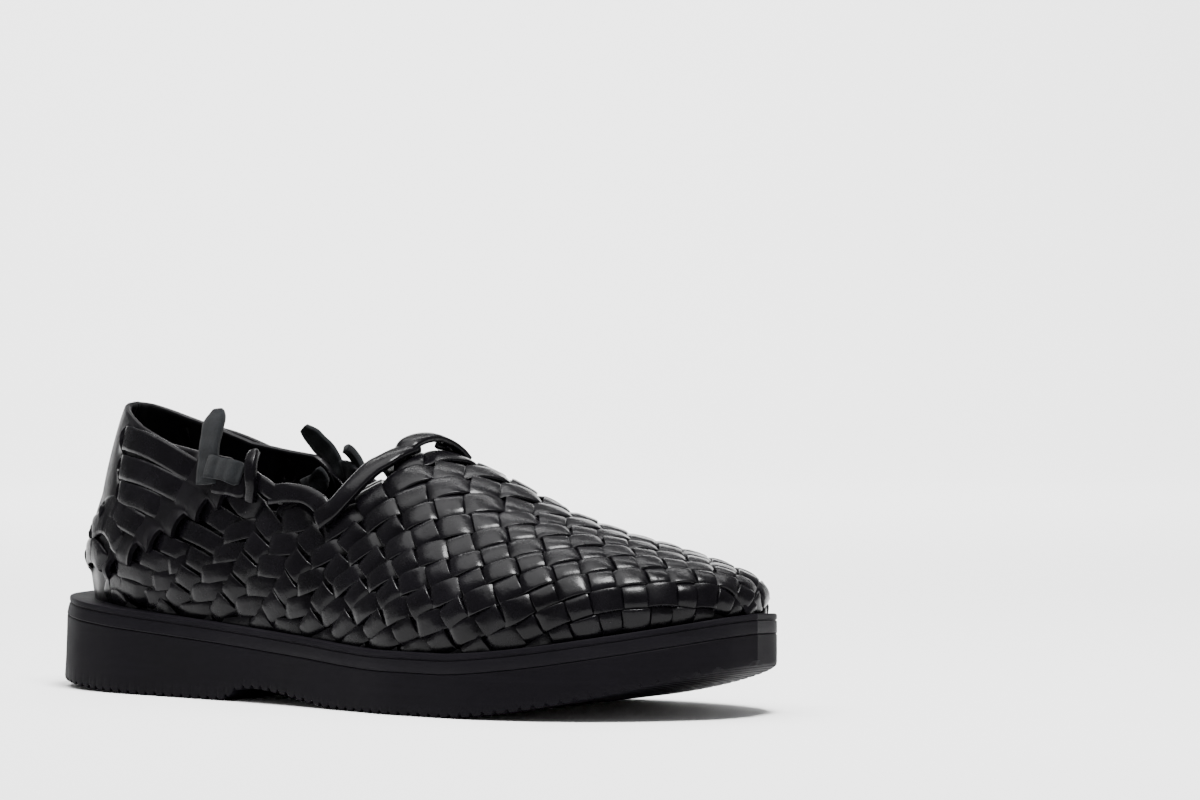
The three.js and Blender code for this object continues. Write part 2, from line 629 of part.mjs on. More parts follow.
const capKeep = prism([
  ...floorLine(-0.1 * LENGTH, CAP_FOOT * LENGTH, 12),
  ...[...CAP_FRONT].reverse().map(at),
  ...[...COLLAR_LINE].reverse().slice(1).map(at),
  [-0.1 * LENGTH, 1.03 * COLLAR_HEIGHT],
]);
const heelCap = largest(cap.intersect(capKeep));

// Thongs, strands and loop, each cut to lie a gap over the leather below it
const seatSheet = (lift) => Array.from({ length: 61 }, (_, j) => Array.from({ length: 45 }, (_, i) => face(
  mix(0.66, 0.22, i / 44) * LENGTH, mix(0, 1.1, j / 60) * BALL_WIDTH * (lift.side), lift.by).at));
function seatBlock(side) {
  const over = seatSheet({ side, by: CAP_STEP + GAP });
  const under = seatSheet({ side, by: -CAP_WALL - GAP });
  return side < 0 ? wall(over, under) : wall(under, over);
}
const seatBlocks = [-1, 1].map((side) => solidOf(seatBlock(side)));
const seated = (solid) => largest(solid.subtract(seatBlocks[0]).subtract(seatBlocks[1]));
function laid(table, side, width, thick, lift = 0) {
  const places = table.map((row) => locate(row.x * LENGTH, row.z * COLLAR_HEIGHT, side));
  return solidOf(strip(surfaceSteps(places, CAP_STEP + GAP + lift), width, 1, thick));
}
function narrow(table, side, thick, depth) {
  const places = table.map((row) => locate(row.x * LENGTH, row.z * COLLAR_HEIGHT, side));
  return solidOf(strip(surfaceSteps(places, CAP_STEP + GAP), thick, 1, depth));
}
const tieOuter = laid(TIE_END, -1, TIE_WIDTH * 1.15, TIE_THICK)
  .add(laid(TIE_TURN, -1, TIE_WIDTH, TIE_THICK, TIE_THICK - 0.5))
  .add(laid([TIE_TURN[1], TIE_TURN[2], TIE_LOOP[1]], -1, TIE_WIDTH * 0.6, TIE_THICK))
  .add(narrow(TIE_LOOP, -1, TIE_THICK * 1.5, TIE_WIDTH * 0.7));
const tieInner = laid(TIE_INNER_END, 1, TIE_WIDTH, TIE_THICK)
  .add(laid([TIE_INNER_END[0], TIE_TURN[2]], 1, TIE_WIDTH, TIE_THICK * 1.4))
  .add(narrow(TIE_LOOP, 1, TIE_THICK * 1.5, TIE_WIDTH * 0.7))
  .add(laid([TIE_TURN[1], TIE_TURN[2], TIE_LOOP[1]], 1, TIE_WIDTH * 0.6, TIE_THICK));
const knotPlaces = TIE_KNOT.map((row) => locate(row.x * LENGTH, row.z * COLLAR_HEIGHT, 1));
const knotLift = CAP_STEP - CAP_WALL - GAP - KNOT_THICK;
const tieKnot = solidOf(strip(surfaceSteps(knotPlaces, knotLift), KNOT_WIDTH, 0, KNOT_THICK));
const loopPlaces = LOOP.map((row) => (
  { u: row.x * LENGTH, v: row.across * BALL_WIDTH, lift: row.lift * LOOP_RISE }));
const loop = solidOf(strip(surfaceSteps(loopPlaces, 0), STRAND_WIDTH, 0.3, STRAND_THICK));

const loopRoom = solidOf(
  strip(surfaceSteps(loopPlaces, 0), STRAND_WIDTH + 2 * GAP, 0.3 + GAP, STRAND_THICK + GAP));
const strand = (side) => seated(laid(STRAND, side, STRAND_WIDTH, STRAND_THICK).subtract(loopRoom));

const leather = new THREE.MeshStandardMaterial({ color: 0x1b1a1c, roughness: 0.42, metalness: 0 });
const suede = new THREE.MeshStandardMaterial({ color: 0x2c3036, roughness: 0.95, metalness: 0 });
const rubber = new THREE.MeshStandardMaterial({ color: 0x242326, roughness: 0.7, metalness: 0 });
const lining = new THREE.MeshStandardMaterial({ color: 0x17171a, roughness: 0.85, metalness: 0 });

const shoe = new THREE.Group();
function add(name, geometry, material) {
  const mesh = new THREE.Mesh(geometry, material);
  mesh.name = name;
  shoe.add(mesh);
}
add('outsole', outsole, rubber);
add('midsole', midsole, rubber);
add('insole', insole, lining);
add('upper', geometryFrom(upper), leather);
add('heel_cap', geometryFrom(heelCap), leather);
add('tie_outer', geometryFrom(seated(tieOuter)), suede);
add('tie_inner', geometryFrom(seated(tieInner)), suede);
add('tie_knot', geometryFrom(tieKnot), suede);
add('strand_outer', geometryFrom(strand(-1)), leather);
add('strand_inner', geometryFrom(strand(1)), leather);
add('throat_loop', geometryFrom(seated(loop)), leather);

// The origin is under the middle of the shoe
const box = new THREE.Box3().setFromObject(shoe);
shoe.position.set(-(box.min.x + box.max.x) / 2, -(box.min.y + box.max.y) / 2, -box.min.z);

export default shoe;
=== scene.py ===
# A woven black leather huarache shoe for the right foot, standing empty on its sole.
# Shapes are worked out in millimetres (x from the heel's back to the toe, y to the inner side of the
# foot, z up) and put into the meshes in metres about the middle of the shoe.
import math

import bpy
import numpy as np
from mathutils import Matrix


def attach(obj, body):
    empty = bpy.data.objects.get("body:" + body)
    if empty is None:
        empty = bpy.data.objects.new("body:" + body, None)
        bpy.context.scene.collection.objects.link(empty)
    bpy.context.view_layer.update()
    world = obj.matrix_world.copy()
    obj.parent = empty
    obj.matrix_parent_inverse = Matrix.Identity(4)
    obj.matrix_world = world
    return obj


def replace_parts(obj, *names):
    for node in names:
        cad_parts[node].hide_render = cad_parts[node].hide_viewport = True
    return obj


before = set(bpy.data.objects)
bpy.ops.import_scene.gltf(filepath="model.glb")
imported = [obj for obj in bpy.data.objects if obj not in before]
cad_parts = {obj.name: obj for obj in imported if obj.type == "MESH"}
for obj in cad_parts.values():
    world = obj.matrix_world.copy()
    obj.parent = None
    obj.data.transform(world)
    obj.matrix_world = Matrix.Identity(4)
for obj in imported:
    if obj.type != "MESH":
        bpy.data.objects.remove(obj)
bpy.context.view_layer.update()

# Sizes in millimetres, the same as the solid model's
LENGTH = 295.0
BALL_WIDTH = 106.0
HEEL_STACK = 34.5
TOE_SPRING = 18.2
HEEL_LIFT = 3.0
ARCH_RISE = 5.0
SOLE_FLARE = 2.0
COLLAR_HEIGHT = 106.5
MIDSOLE = 7.0
RIM_DROP = 2.2
MIDDLE = 146.5

PITCH = 10.2
STRIP_THICK = 1.7
CAP_STRIP = 9.2

OUTLINE = np.array([
    [0, 0, 0], [0.01, 0.118, 0.118], [0.04, 0.226, 0.226], [0.09, 0.307, 0.302], [0.16, 0.349, 0.340],
    [0.25, 0.363, 0.344], [0.35, 0.382, 0.335], [0.45, 0.415, 0.340], [0.55, 0.462, 0.377],
    [0.64, 0.5, 0.434], [0.72, 0.5, 0.481], [0.80, 0.458, 0.5], [0.87, 0.373, 0.481],
    [0.93, 0.245, 0.425], [0.97, 0.113, 0.344], [0.99, 0.019, 0.259], [1, -0.113, 0.113]])
STACK = np.array([[0, 1], [0.1525, 0.899], [0.305, 0.812], [0.4576, 0.719], [0.61, 0.638],
                  [0.729, 0.635], [0.8475, 0.604], [1, 0.513]])
ARCH = np.array([[0.335, 0], [0.347, 0.3], [0.366, 0.9], [0.39, 1], [0.43, 0.82], [0.48, 0.36],
                 [0.515, 0.1], [0.545, 0]])
SPRING_START, SPRING_POWER, HEEL_FLAT = 0.696, 1.6, 0.2
U_HEEL, U_TOE, TOE_SLOPE, BULGE_HEIGHT = 0.1424 * LENGTH, 0.8 * LENGTH, -0.26, 38.0
SPINE = np.array([[0, 0], [0.2, -0.01], [0.4, -0.01], [0.61, 0.045], [0.8, 0.047], [1, 0.075]])
RIDGE = np.array([[0, 1.14], [0.1424, 1.14], [0.271, 1.1], [0.373, 1.033], [0.4576, 0.912],
                  [0.5085, 0.862], [0.5593, 0.838], [0.627, 0.778], [0.712, 0.668], [0.8, 0.592],
                  [1, 0.445]])
ROUND = np.array([[0, 2.2, 2.0], [0.2, 2.2, 2.0], [0.373, 2.3, 1.9], [0.5085, 2.3, 1.8],
                  [0.644, 2.3, 2.1], [0.8, 2.3, 2.35], [1, 2.3, 2.35]])
BULGE = np.array([[0, 3.0], [0.2, 2.5], [0.373, 1.5], [0.542, 1.5], [0.678, 2.5], [0.8, 3.0], [1, 3.0]])
LEDGE = np.array([[0, 10], [0.068, 10], [0.203, 6], [0.407, 4.5], [0.678, 4], [1, 3.5]])
COLLAR_LINE = np.array([[-0.07, 1.03], [0.07, 1], [0.146, 0.911], [0.21, 0.85], [0.27, 0.822],
                        [0.31, 0.808], [0.34, 0.765]])
CAP_FRONT = np.array([[0.34, 0.765], [0.329, 0.676], [0.254, 0.563], [0.186, 0.47], [0.142, 0.376],
                      [0.125, 0.31]])
TOPLINE = np.array([[0.343, 0.735], [0.39, 0.704], [0.447, 0.657], [0.485, 0.634], [0.502, 0.676],
                    [0.515, 0.751], [0.532, 0.817], [0.54, 0.9], [0.542, 1.4]])
# The six strips over the cap: place and height of the back slit, then of the front slit
CAP_STRIPS = np.array([[0.119, 0.869, 0.252, 0.77], [0.122, 0.77, 0.238, 0.7],
                       [0.125, 0.685, 0.207, 0.64], [0.095, 0.615, 0.178, 0.573],
                       [0.07, 0.54, 0.142, 0.512], [0.055, 0.455, 0.103, 0.448]])
# Where strips cross on the outer side: distances of the strips that run down (rows of three) and up, then
# the crossing's place along the foot and its drop from the ridge, all as shares of the length
DOWN_AT, UP_AT = [0.104, 0.38, 0.657], [0.277, 0.519, 0.761]
WEAVE_CROSSINGS = np.array([[0.05, 0.257], [0.332, 0.309], [0.408, 0.468], [0.465, -0.01], [0.643, 0.137],
                            [0.771, 0.272], [0.631, -0.497], [0.818, -0.154], [0.996, 0.054]])
WEAVE_BLEND = 0.145


def curve(table, column, x):
    """Smooth value of a table's column at x: cubic pieces whose slopes are the weighted harmonic mean
    of the neighbouring slopes, or flat at a turn, so the curve never overshoots."""
    xs, ys = table[:, 0].astype(float), table[:, column].astype(float)
    x = np.asarray(x, float)
    h = np.diff(xs)
    d = np.diff(ys) / h
    m = np.empty(len(xs))
    m[0], m[-1] = d[0], d[-1]
    a, b = 2 * h[1:] + h[:-1], h[1:] + 2 * h[:-1]
    same = d[:-1] * d[1:] > 0
    safe = np.where(same, d[:-1], 1.0), np.where(same, d[1:], 1.0)
    m[1:-1] = np.where(same, (a + b) / (a / safe[0] + b / safe[1]), 0)
    i = np.clip(np.searchsorted(xs, x, side="left") - 1, 0, len(xs) - 2)
    t = np.clip((x - xs[i]) / h[i], 0, 1)
    return ((2 * t**3 - 3 * t**2 + 1) * ys[i] + (t**3 - 2 * t**2 + t) * h[i] * m[i]
            + (3 * t**2 - 2 * t**3) * ys[i + 1] + (t**3 - t**2) * h[i] * m[i + 1])


def share(x):
    """Share of the shoe's length."""
    return np.clip(np.asarray(x, float) / LENGTH, 0, 1)


def spring(x):
    """Rise of the underside: toe spring times a power of the way along the toe."""
    return TOE_SPRING * np.clip((share(x) - SPRING_START) / (1 - SPRING_START), 0, 1) ** SPRING_POWER


def sole_top(x):
    """Height of the sole's top: its thickness there plus the toe's spring."""
    return HEEL_STACK * curve(STACK, 1, share(x)) + spring(x)


def sole_bottom(x):
    """Height of the underside: toe spring, a small lift at the heel's back and the arch notch."""
    s = share(x)
    inside = (s > ARCH[0, 0]) & (s < ARCH[-1, 0])
    return (spring(x) + HEEL_LIFT * np.clip(1 - s / HEEL_FLAT, 0, 1) ** 1.5
            + np.where(inside, ARCH_RISE * curve(ARCH, 1, s), 0))


def flare(x):
    """How far the sole's foot stands out, fading from the heel to the middle."""
    return SOLE_FLARE * np.clip(1 - share(x) / 0.5, 0, 1)


def cosine_spaced(count):
    """Shares of the length from 0 to 1, closer together towards both ends."""
    return (1 - np.cos(np.linspace(0, np.pi, count))) / 2


def outline(s, inset):
    """The sole's outline as a loop from the heel along the outer edge to the toe and back, at the
    given shares of the length, moved inwards by inset(x) along its normal."""
    outer = np.c_[s * LENGTH, -curve(OUTLINE, 1, s) * BALL_WIDTH]
    inner = np.c_[s * LENGTH, curve(OUTLINE, 2, s) * BALL_WIDTH][::-1][1:-1]
    loop = np.vstack([outer, inner])
    way = np.roll(loop, -1, 0) - np.roll(loop, 1, 0)
    way /= np.linalg.norm(way, axis=1)[:, None]
    return loop + np.c_[-way[:, 1], way[:, 0]] * inset(loop[:, 0])[:, None]


LEDGE_STATIONS = 240
LEDGE_LOOP = outline(cosine_spaced(LEDGE_STATIONS), lambda x: curve(LEDGE, 1, share(x)))
LEDGE_OUTER = LEDGE_LOOP[:LEDGE_STATIONS]
LEDGE_INNER = np.vstack([LEDGE_LOOP[LEDGE_STATIONS - 1:], LEDGE_LOOP[:1]])[::-1]


def spine(x):
    """Sideways place of the line that the shoe's sections are measured from."""
    return curve(SPINE, 1, share(x)) * BALL_WIDTH


def fan(phi, centre):
    """Distance from a fan's centre to the ledge outline in each direction."""
    away = LEDGE_LOOP - np.array([centre, float(spine(centre))])
    angle, size = np.arctan2(away[:, 1], away[:, 0]), np.linalg.norm(away, axis=1)
    order = np.argsort(angle)
    angle, size = angle[order], size[order]
    angle = np.r_[angle[-1] - 2 * np.pi, angle, angle[0] + 2 * np.pi]
    return np.interp(phi, angle, np.r_[size[-1], size, size[0]])


SAMPLES = 36
TURN = np.pi / 2 * (1 - np.arange(SAMPLES) / (SAMPLES - 1))
TURN_COS, TURN_SIN = np.clip(np.cos(TURN), 0, 1)[None], np.clip(np.sin(TURN), 0, 1)[None]


def sections(u, v):
    """Profile of the last under each developed point: superellipse quarters from the ridge to the
    ledge, standing square to the spine and fanned round the heel and the toe, with a low bulge.
    Returns the spine point, direction, distance run, and the profile's radius, height and run."""
    cx = np.clip(u, U_HEEL, U_TOE)
    across = np.where(np.abs(v) < 1e-6, 1e-6, v)
    phi, distance = np.arctan2(across, u - cx), np.hypot(u - cx, across)
    cy = spine(cx)
    toe = cx >= U_TOE
    middle = (cx > U_HEEL) & ~toe
    side = np.where(phi < 0, np.interp(cx, LEDGE_OUTER[:, 0], LEDGE_OUTER[:, 1]),
                    np.interp(cx, LEDGE_INNER[:, 0], LEDGE_INNER[:, 1]))
    width = np.where(middle, np.abs(side - cy), np.where(toe, fan(phi, U_TOE), fan(phi, U_HEEL)))
    s = share(cx)
    base = sole_top(cx + width * np.cos(phi))
    rise = curve(RIDGE, 1, s) * COLLAR_HEIGHT - base
    c = TURN_COS ** (2 / curve(ROUND, 1, s)[:, None])
    h = TURN_SIN ** (2 / curve(ROUND, 2, s)[:, None])
    lean = np.where(toe, TOE_SLOPE * width * np.cos(phi), 0)[:, None] * c * (1 - c * c)
    z = base[:, None] + rise[:, None] * h + lean
    swell = np.sin(np.pi * np.clip((z - base[:, None]) / BULGE_HEIGHT, 0, 1))
    r = width[:, None] * c + curve(BULGE, 1, s)[:, None] * swell * c
    steps = np.hypot(np.diff(r), np.diff(z))
    run = np.concatenate([np.zeros((len(cx), 1)), np.cumsum(steps, axis=1)], axis=1)
    return cx, cy, phi, distance, r, z, run


def last_point(u, v):
    """The last's surface: the distance run along the profile gives radius and height, and past the
    ledge it drops straight down."""
    shape = np.shape(u)
    u, v = np.ravel(u).astype(float), np.ravel(v).astype(float)
    cx, cy, phi, distance, r, z, run = sections(u, v)
    d = np.minimum(distance, run[:, -1])
    k = np.arange(len(u))
    i = np.clip((run < d[:, None]).sum(1) - 1, 0, SAMPLES - 2)
    t = (d - run[k, i]) / np.maximum(run[k, i + 1] - run[k, i], 1e-9)
    radius = r[k, i] * (1 - t) + r[k, i + 1] * t
    height = z[k, i] * (1 - t) + z[k, i + 1] * t - (distance - d)
    return np.c_[cx + radius * np.cos(phi), cy + radius * np.sin(phi), height].reshape(shape + (3,))


def last_face(u, v):
    """Surface points with their outward normals, from central differences."""
    e = 0.6
    du = last_point(u + e, v) - last_point(u - e, v)
    dv = last_point(u, v + e) - last_point(u, v - e)
    normal = np.cross(du, dv)
    normal /= np.maximum(np.linalg.norm(normal, axis=-1, keepdims=True), 1e-9)
    return last_point(u, v), normal


def rim_run(u, v):
    """Developed distance to the ledge, less the distance to the point: positive on the last."""
    _, _, _, distance, _, _, run = sections(np.ravel(u).astype(float), np.ravel(v).astype(float))
    return (run[:, -1] - distance).reshape(np.shape(u))


# Developed coordinates of the weave
def parabola(x, places):
    """Shares of three places at x, for the parabola through them."""
    def share_of(k):
        return np.prod([(x - places[m]) / (places[k] - places[m]) for m in range(3) if m != k], axis=0)

    return np.stack([share_of(k) for k in range(3)], -1)


def side_weave(down, up):
    """Developed place of a crossing on one side: parabolas through the nine crossings both ways."""
    part = parabola(down, DOWN_AT)[..., :, None] * parabola(up, UP_AT)[..., None, :]
    place = (part.reshape(part.shape[:-2] + (9,))[..., None] * WEAVE_CROSSINGS).sum(-2) * LENGTH
    return place[..., 0], place[..., 1]


def weave_place(i, j):
    """Developed place of a weave coordinate: the outer and inner sides blend over the ridge."""
    a, b = np.asarray(i, float) * PITCH / LENGTH, np.asarray(j, float) * PITCH / LENGTH
    uo, wo = side_weave(a, b)
    ui, wi = side_weave(b, a)
    m = np.clip((a - b) / (2 * WEAVE_BLEND) + 0.5, 0, 1)
    t = m * m * (3 - 2 * m)
    return uo + (ui - uo) * t, -wo + (wi + wo) * t


def locate(x, z, side):
    """Developed place of side-view points on the outer (-1) or inner (1) side, by halving the run and,
    round the heel, the direction."""
    x, z = np.atleast_1d(x).astype(float), np.atleast_1d(z).astype(float)

    def drop(cu, phi):
        low, high = np.zeros(len(cu)), np.full(len(cu), 200.0)
        for _ in range(26):
            m = (low + high) / 2
            p = last_point(cu + m * np.cos(phi), m * np.sin(phi))
            low, high = np.where(p[:, 2] > z, m, low), np.where(p[:, 2] > z, high, m)
        return low

    cu = np.maximum(x, U_HEEL)
    low, high = np.full(len(x), 0.5 * np.pi), np.full(len(x), 0.98 * np.pi)
    for _ in range(20):
        m = (low + high) / 2
        r = drop(cu, side * m)
        px = last_point(cu + r * np.cos(m), side * r * np.sin(m))[:, 0]
        low, high = np.where(px > x, m, low), np.where(px > x, high, m)
    angle = np.where(x >= U_HEEL, np.pi / 2, low)
    r = drop(cu, side * angle)
    return cu + r * np.cos(angle), side * r * np.sin(angle)


# Mesh making
CREASE = math.radians(32)


def put(name, points, faces, material, uv=None):
    """Mesh object from millimetre points: shifted to the middle of the shoe and scaled to metres. Strips
    have a uv and are smooth all over; the others keep a sharp edge wherever it passes the crease angle."""
    mesh = bpy.data.meshes.new(name)
    points = (np.asarray(points, float).reshape(-1, 3) - np.array([MIDDLE, 0, 0])) / 1000
    mesh.from_pydata(points.tolist(), [], faces)
    mesh.validate()
    mesh.polygons.foreach_set("use_smooth", np.ones(len(mesh.polygons), dtype=bool))
    if uv is None:
        mesh.set_sharp_from_angle(angle=CREASE)
    else:
        layer = mesh.uv_layers.new(name="strip")
        index = np.empty(len(mesh.loops), dtype=np.int32)
        mesh.loops.foreach_get("vertex_index", index)
        layer.data.foreach_set("uv", np.asarray(uv, np.float32)[index].ravel())
    mesh.materials.append(material)
    mesh.update()
    piece = bpy.data.objects.new(name, mesh)
    bpy.context.scene.collection.objects.link(piece)
    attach(piece, "root")
    return piece


def wall_quads(rows, ring):
    """Faces between rings of points: each point joins its neighbour round and the same point on the
    next ring."""
    i, j = np.meshgrid(np.arange(rows - 1), np.arange(ring), indexing="ij")
    k = (j + 1) % ring
    return np.stack([i * ring + j, i * ring + k, (i + 1) * ring + k, (i + 1) * ring + j], -1).reshape(-1, 4)


def tube_quads(rows, ring, start):
    """Faces of a closed tube of rings whose points are numbered from start: the walls, and at each end
    a row of quads across the ring."""
    n = np.arange(ring // 2 - 1)
    first = np.stack([n, ring - 1 - n, ring - 2 - n, n + 1], -1)
    last = first[:, ::-1] + (rows - 1) * ring
    return np.vstack([wall_quads(rows, ring), first, last]) + start


def strip_section(width, thick, dome):
    """Cross-section of a cut strip: flat underside, slightly domed face and small round edges,
    given as (across, up) pairs running round once."""
    w, t = width / 2, thick
    e = min(0.35, t * 0.3) * min(width / 8, 1)
    rim, edge = (w, t - e - 0.15), (w - e * 0.6, t - 0.12)
    shoulder, crown = (w * 0.72, t + dome * 0.55), (w * 0.3, t + dome)
    top = [rim, edge, shoulder, crown]
    low = [(w, e), (w - e, 0), (w * 0.3, 0)]
    mirror = np.array([-1, 1])
    return np.vstack([np.array(top) * mirror, top[::-1], low, np.array(low[::-1]) * mirror])


def ribbon(points, normals, section, widths=None):
    """Strip carried along a path: at each step the section's two axes are the side direction, which is
    the way along crossed with the face direction, and the face direction itself."""
    way = np.gradient(points, axis=0)
    way /= np.maximum(np.linalg.norm(way, axis=1, keepdims=True), 1e-9)
    side = np.cross(way, normals)
    side /= np.maximum(np.linalg.norm(side, axis=1, keepdims=True), 1e-9)
    face = np.cross(side, way)
    widths = np.ones(len(points)) if widths is None else widths
    return (points[:, None] + side[:, None] * (section[None, :, :1] * widths[:, None, None])
            + face[:, None] * section[None, :, 1:])


UV_RUN = 100
UV_SHIFT = 7.3, 3.1


class Bundle:
    """Strips gathered into one piece, with a uv of distance along and place round each strip."""

    def __init__(self):
        self.points, self.quads, self.uv, self.count = [], [], [], 0

    def add(self, rings, seed):
        """Adds one strip from its rings; the seed shifts its uv, so no two strips share a place."""
        rows, ring = rings.shape[:2]
        self.quads.append(tube_quads(rows, ring, self.count))
        along = np.r_[0, np.cumsum(np.linalg.norm(np.diff(rings.mean(1), axis=0), axis=1))]
        along = np.repeat(along / UV_RUN + seed * UV_SHIFT[0], ring)
        around = np.tile(np.linspace(0, 1, ring), rows) + seed * UV_SHIFT[1]
        self.uv.append(np.stack([along, around], -1))
        self.points.append(rings.reshape(-1, 3))
        self.count += rows * ring

    def make(self, name, slot, material):
        """Turns the strips into one mesh object."""
        faces = np.vstack(self.quads).tolist()
        return put(name, np.vstack(self.points), faces, material, uv=np.vstack(self.uv))


# Materials
def noise(nodes, links, source, scale, detail=6, rough=0.55, stretch=(1, 1, 1)):
    """Noise texture on the given coordinates, stretched by a mapping."""
    mapping = nodes.new("ShaderNodeMapping")
    mapping.inputs["Scale"].default_value = stretch
    links.new(source, mapping.inputs["Vector"])
    texture = nodes.new("ShaderNodeTexNoise")
    texture.inputs["Scale"].default_value = scale
    texture.inputs["Detail"].default_value = detail
    texture.inputs["Roughness"].default_value = rough
    links.new(mapping.outputs["Vector"], texture.inputs["Vector"])
    return texture.outputs["Fac"]


def ramp(nodes, links, source, stops):
    """Colour ramp over the given places and colours."""
    node = nodes.new("ShaderNodeValToRGB")
    node.color_ramp.elements.remove(node.color_ramp.elements[1])
    for k, (place, colour) in enumerate(stops):
        element = node.color_ramp.elements[0] if k == 0 else node.color_ramp.elements.new(place)
        element.position = place
        element.color = (*colour, 1)
    links.new(source, node.inputs["Fac"])
    return node.outputs["Color"]


def greys(nodes, links, source, *stops):
    """Grey ramp over the given places and values."""
    return ramp(nodes, links, source, [(place, (value,) * 3) for place, value in stops])


def mixed(nodes, links, kind, amount, a, b):
    """Mix of two colours by a factor."""
    node = nodes.new("ShaderNodeMix")
    node.data_type = "RGBA"
    node.blend_type = kind
    for socket, value in ((node.inputs["Factor"], amount), (node.inputs["A"], a), (node.inputs["B"], b)):
        if isinstance(value, (int, float)):
            socket.default_value = value
        elif isinstance(value, tuple):
            socket.default_value = (*value, 1)
        else:
            links.new(value, socket)
    return node.outputs["Result"]


def bumped(nodes, links, shader, heights):
    """Chain of bump nodes, each with its height map, its depth in millimetres and its strength."""
    last = None
    for height, depth, strength in heights:
        node = nodes.new("ShaderNodeBump")
        node.inputs["Strength"].default_value = strength
        node.inputs["Distance"].default_value = depth / 1000
        links.new(height, node.inputs["Height"])
        if last is not None:
            links.new(last, node.inputs["Normal"])
        last = node.outputs["Normal"]
    links.new(last, shader.inputs["Normal"])


def blank(name):
    """New material with its principled shader and object coordinates."""
    material = bpy.data.materials.new(name)
    material.use_nodes = True
    nodes, links = material.node_tree.nodes, material.node_tree.links
    place = nodes.new("ShaderNodeTexCoord")
    return material, nodes, links, nodes["Principled BSDF"], place.outputs["Object"]


def polished_leather(name, dark, light, rough):
    """Smooth vegetable-tanned strap leather: near-black dye that is uneven over centimetres, fine pores,
    faint creases across, a waxed shine broken into patches, and paler scuffs."""
    material, nodes, links, shader, place = blank(name)
    patches = noise(nodes, links, place, 55, 4)
    colour = ramp(nodes, links, patches, [(0.3, dark), (0.72, light)])
    scratches = noise(nodes, links, place, 260, 8, 0.7, (1, 1, 2.4))
    scuffs = greys(nodes, links, scratches, (0.62, 0), (0.8, 1))
    colour = mixed(nodes, links, "MIX", scuffs, colour, tuple(c * 1.5 for c in light))
    links.new(colour, shader.inputs["Base Color"])
    waxed = noise(nodes, links, place, 120, 5, 0.6)
    shine = greys(nodes, links, waxed, (0.3, rough - 0.08), (0.75, rough + 0.14))
    links.new(shine, shader.inputs["Roughness"])
    shader.inputs["Specular IOR Level"].default_value = 0.11
    shader.inputs["Coat Weight"].default_value = 0.025
    shader.inputs["Coat Roughness"].default_value = 0.22
    pores = noise(nodes, links, place, 2600, 3, 0.6)
    grain = noise(nodes, links, place, 900, 6, 0.6, (1, 1.7, 1))
    waves = noise(nodes, links, place, 170, 3, 0.5)
    bumped(nodes, links, shader, [(waves, 0.55, 0.35), (grain, 0.12, 0.4), (pores, 0.05, 0.4)])
    return material


def fuzzy_suede(name, dark, light):
    """Flesh side of the leather: short bluish-grey nap that is speckled light and dark."""
    material, nodes, links, shader, place = blank(name)
    nap = noise(nodes, links, place, 1500, 8, 0.8)
    patches = noise(nodes, links, place, 220, 4)
    between = tuple((a + b) / 2 for a, b in zip(dark, light))
    speckle = ramp(nodes, links, nap, [(0.36, dark), (0.52, between), (0.68, light)])
    shade = greys(nodes, links, patches, (0.3, 0.55), (0.7, 1))
    links.new(mixed(nodes, links, "MULTIPLY", 1.0, speckle, shade), shader.inputs["Base Color"])
    shader.inputs["Roughness"].default_value = 0.95
    shader.inputs["Specular IOR Level"].default_value = 0.1
    shader.inputs["Sheen Weight"].default_value = 0.06
    shader.inputs["Sheen Roughness"].default_value = 0.6
    bumped(nodes, links, shader, [(patches, 0.5, 0.4), (nap, 0.25, 0.8)])
    return material


def matte_rubber(name, dark, light, rough):
    """Moulded rubber: near-black, faintly clouded, with fine drag marks along the wall and a dull face."""
    material, nodes, links, shader, place = blank(name)
    cloud = noise(nodes, links, place, 40, 5)
    drag = noise(nodes, links, place, 260, 5, 0.6, (0.12, 0.12, 2.2))
    marks = greys(nodes, links, drag, (0.45, 0), (0.8, 0.5))
    clouded = ramp(nodes, links, cloud, [(0.3, dark), (0.75, light)])
    colour = mixed(nodes, links, "MIX", marks, clouded, tuple(c * 1.35 for c in light))
    links.new(colour, shader.inputs["Base Color"])
    dull = greys(nodes, links, cloud, (0.3, rough - 0.06), (0.7, rough + 0.08))
    links.new(dull, shader.inputs["Roughness"])
    shader.inputs["Specular IOR Level"].default_value = 0.05
    speck = noise(nodes, links, place, 1900, 4, 0.7)
    bumped(nodes, links, shader, [(drag, 0.12, 0.35), (speck, 0.06, 0.5)])
    return material


STRAP = polished_leather("strap_leather", (0.0012, 0.001, 0.0015), (0.0036, 0.0032, 0.0043), 0.22)
SHEET = polished_leather("cap_leather", (0.0016, 0.0014, 0.0019), (0.0046, 0.0041, 0.0053), 0.38)
LINING = polished_leather("lining_leather", (0.004, 0.0036, 0.0046), (0.009, 0.008, 0.01), 0.6)
SUEDE = fuzzy_suede("suede", (0.0016, 0.0019, 0.0024), (0.0095, 0.0115, 0.0140))
RUBBER = matte_rubber("sole_rubber", (0.0022, 0.0018, 0.0028), (0.0038, 0.0033, 0.0047), 0.62)
RAND = matte_rubber("rand_rubber", (0.0033, 0.0029, 0.0041), (0.0053, 0.0047, 0.0063), 0.58)


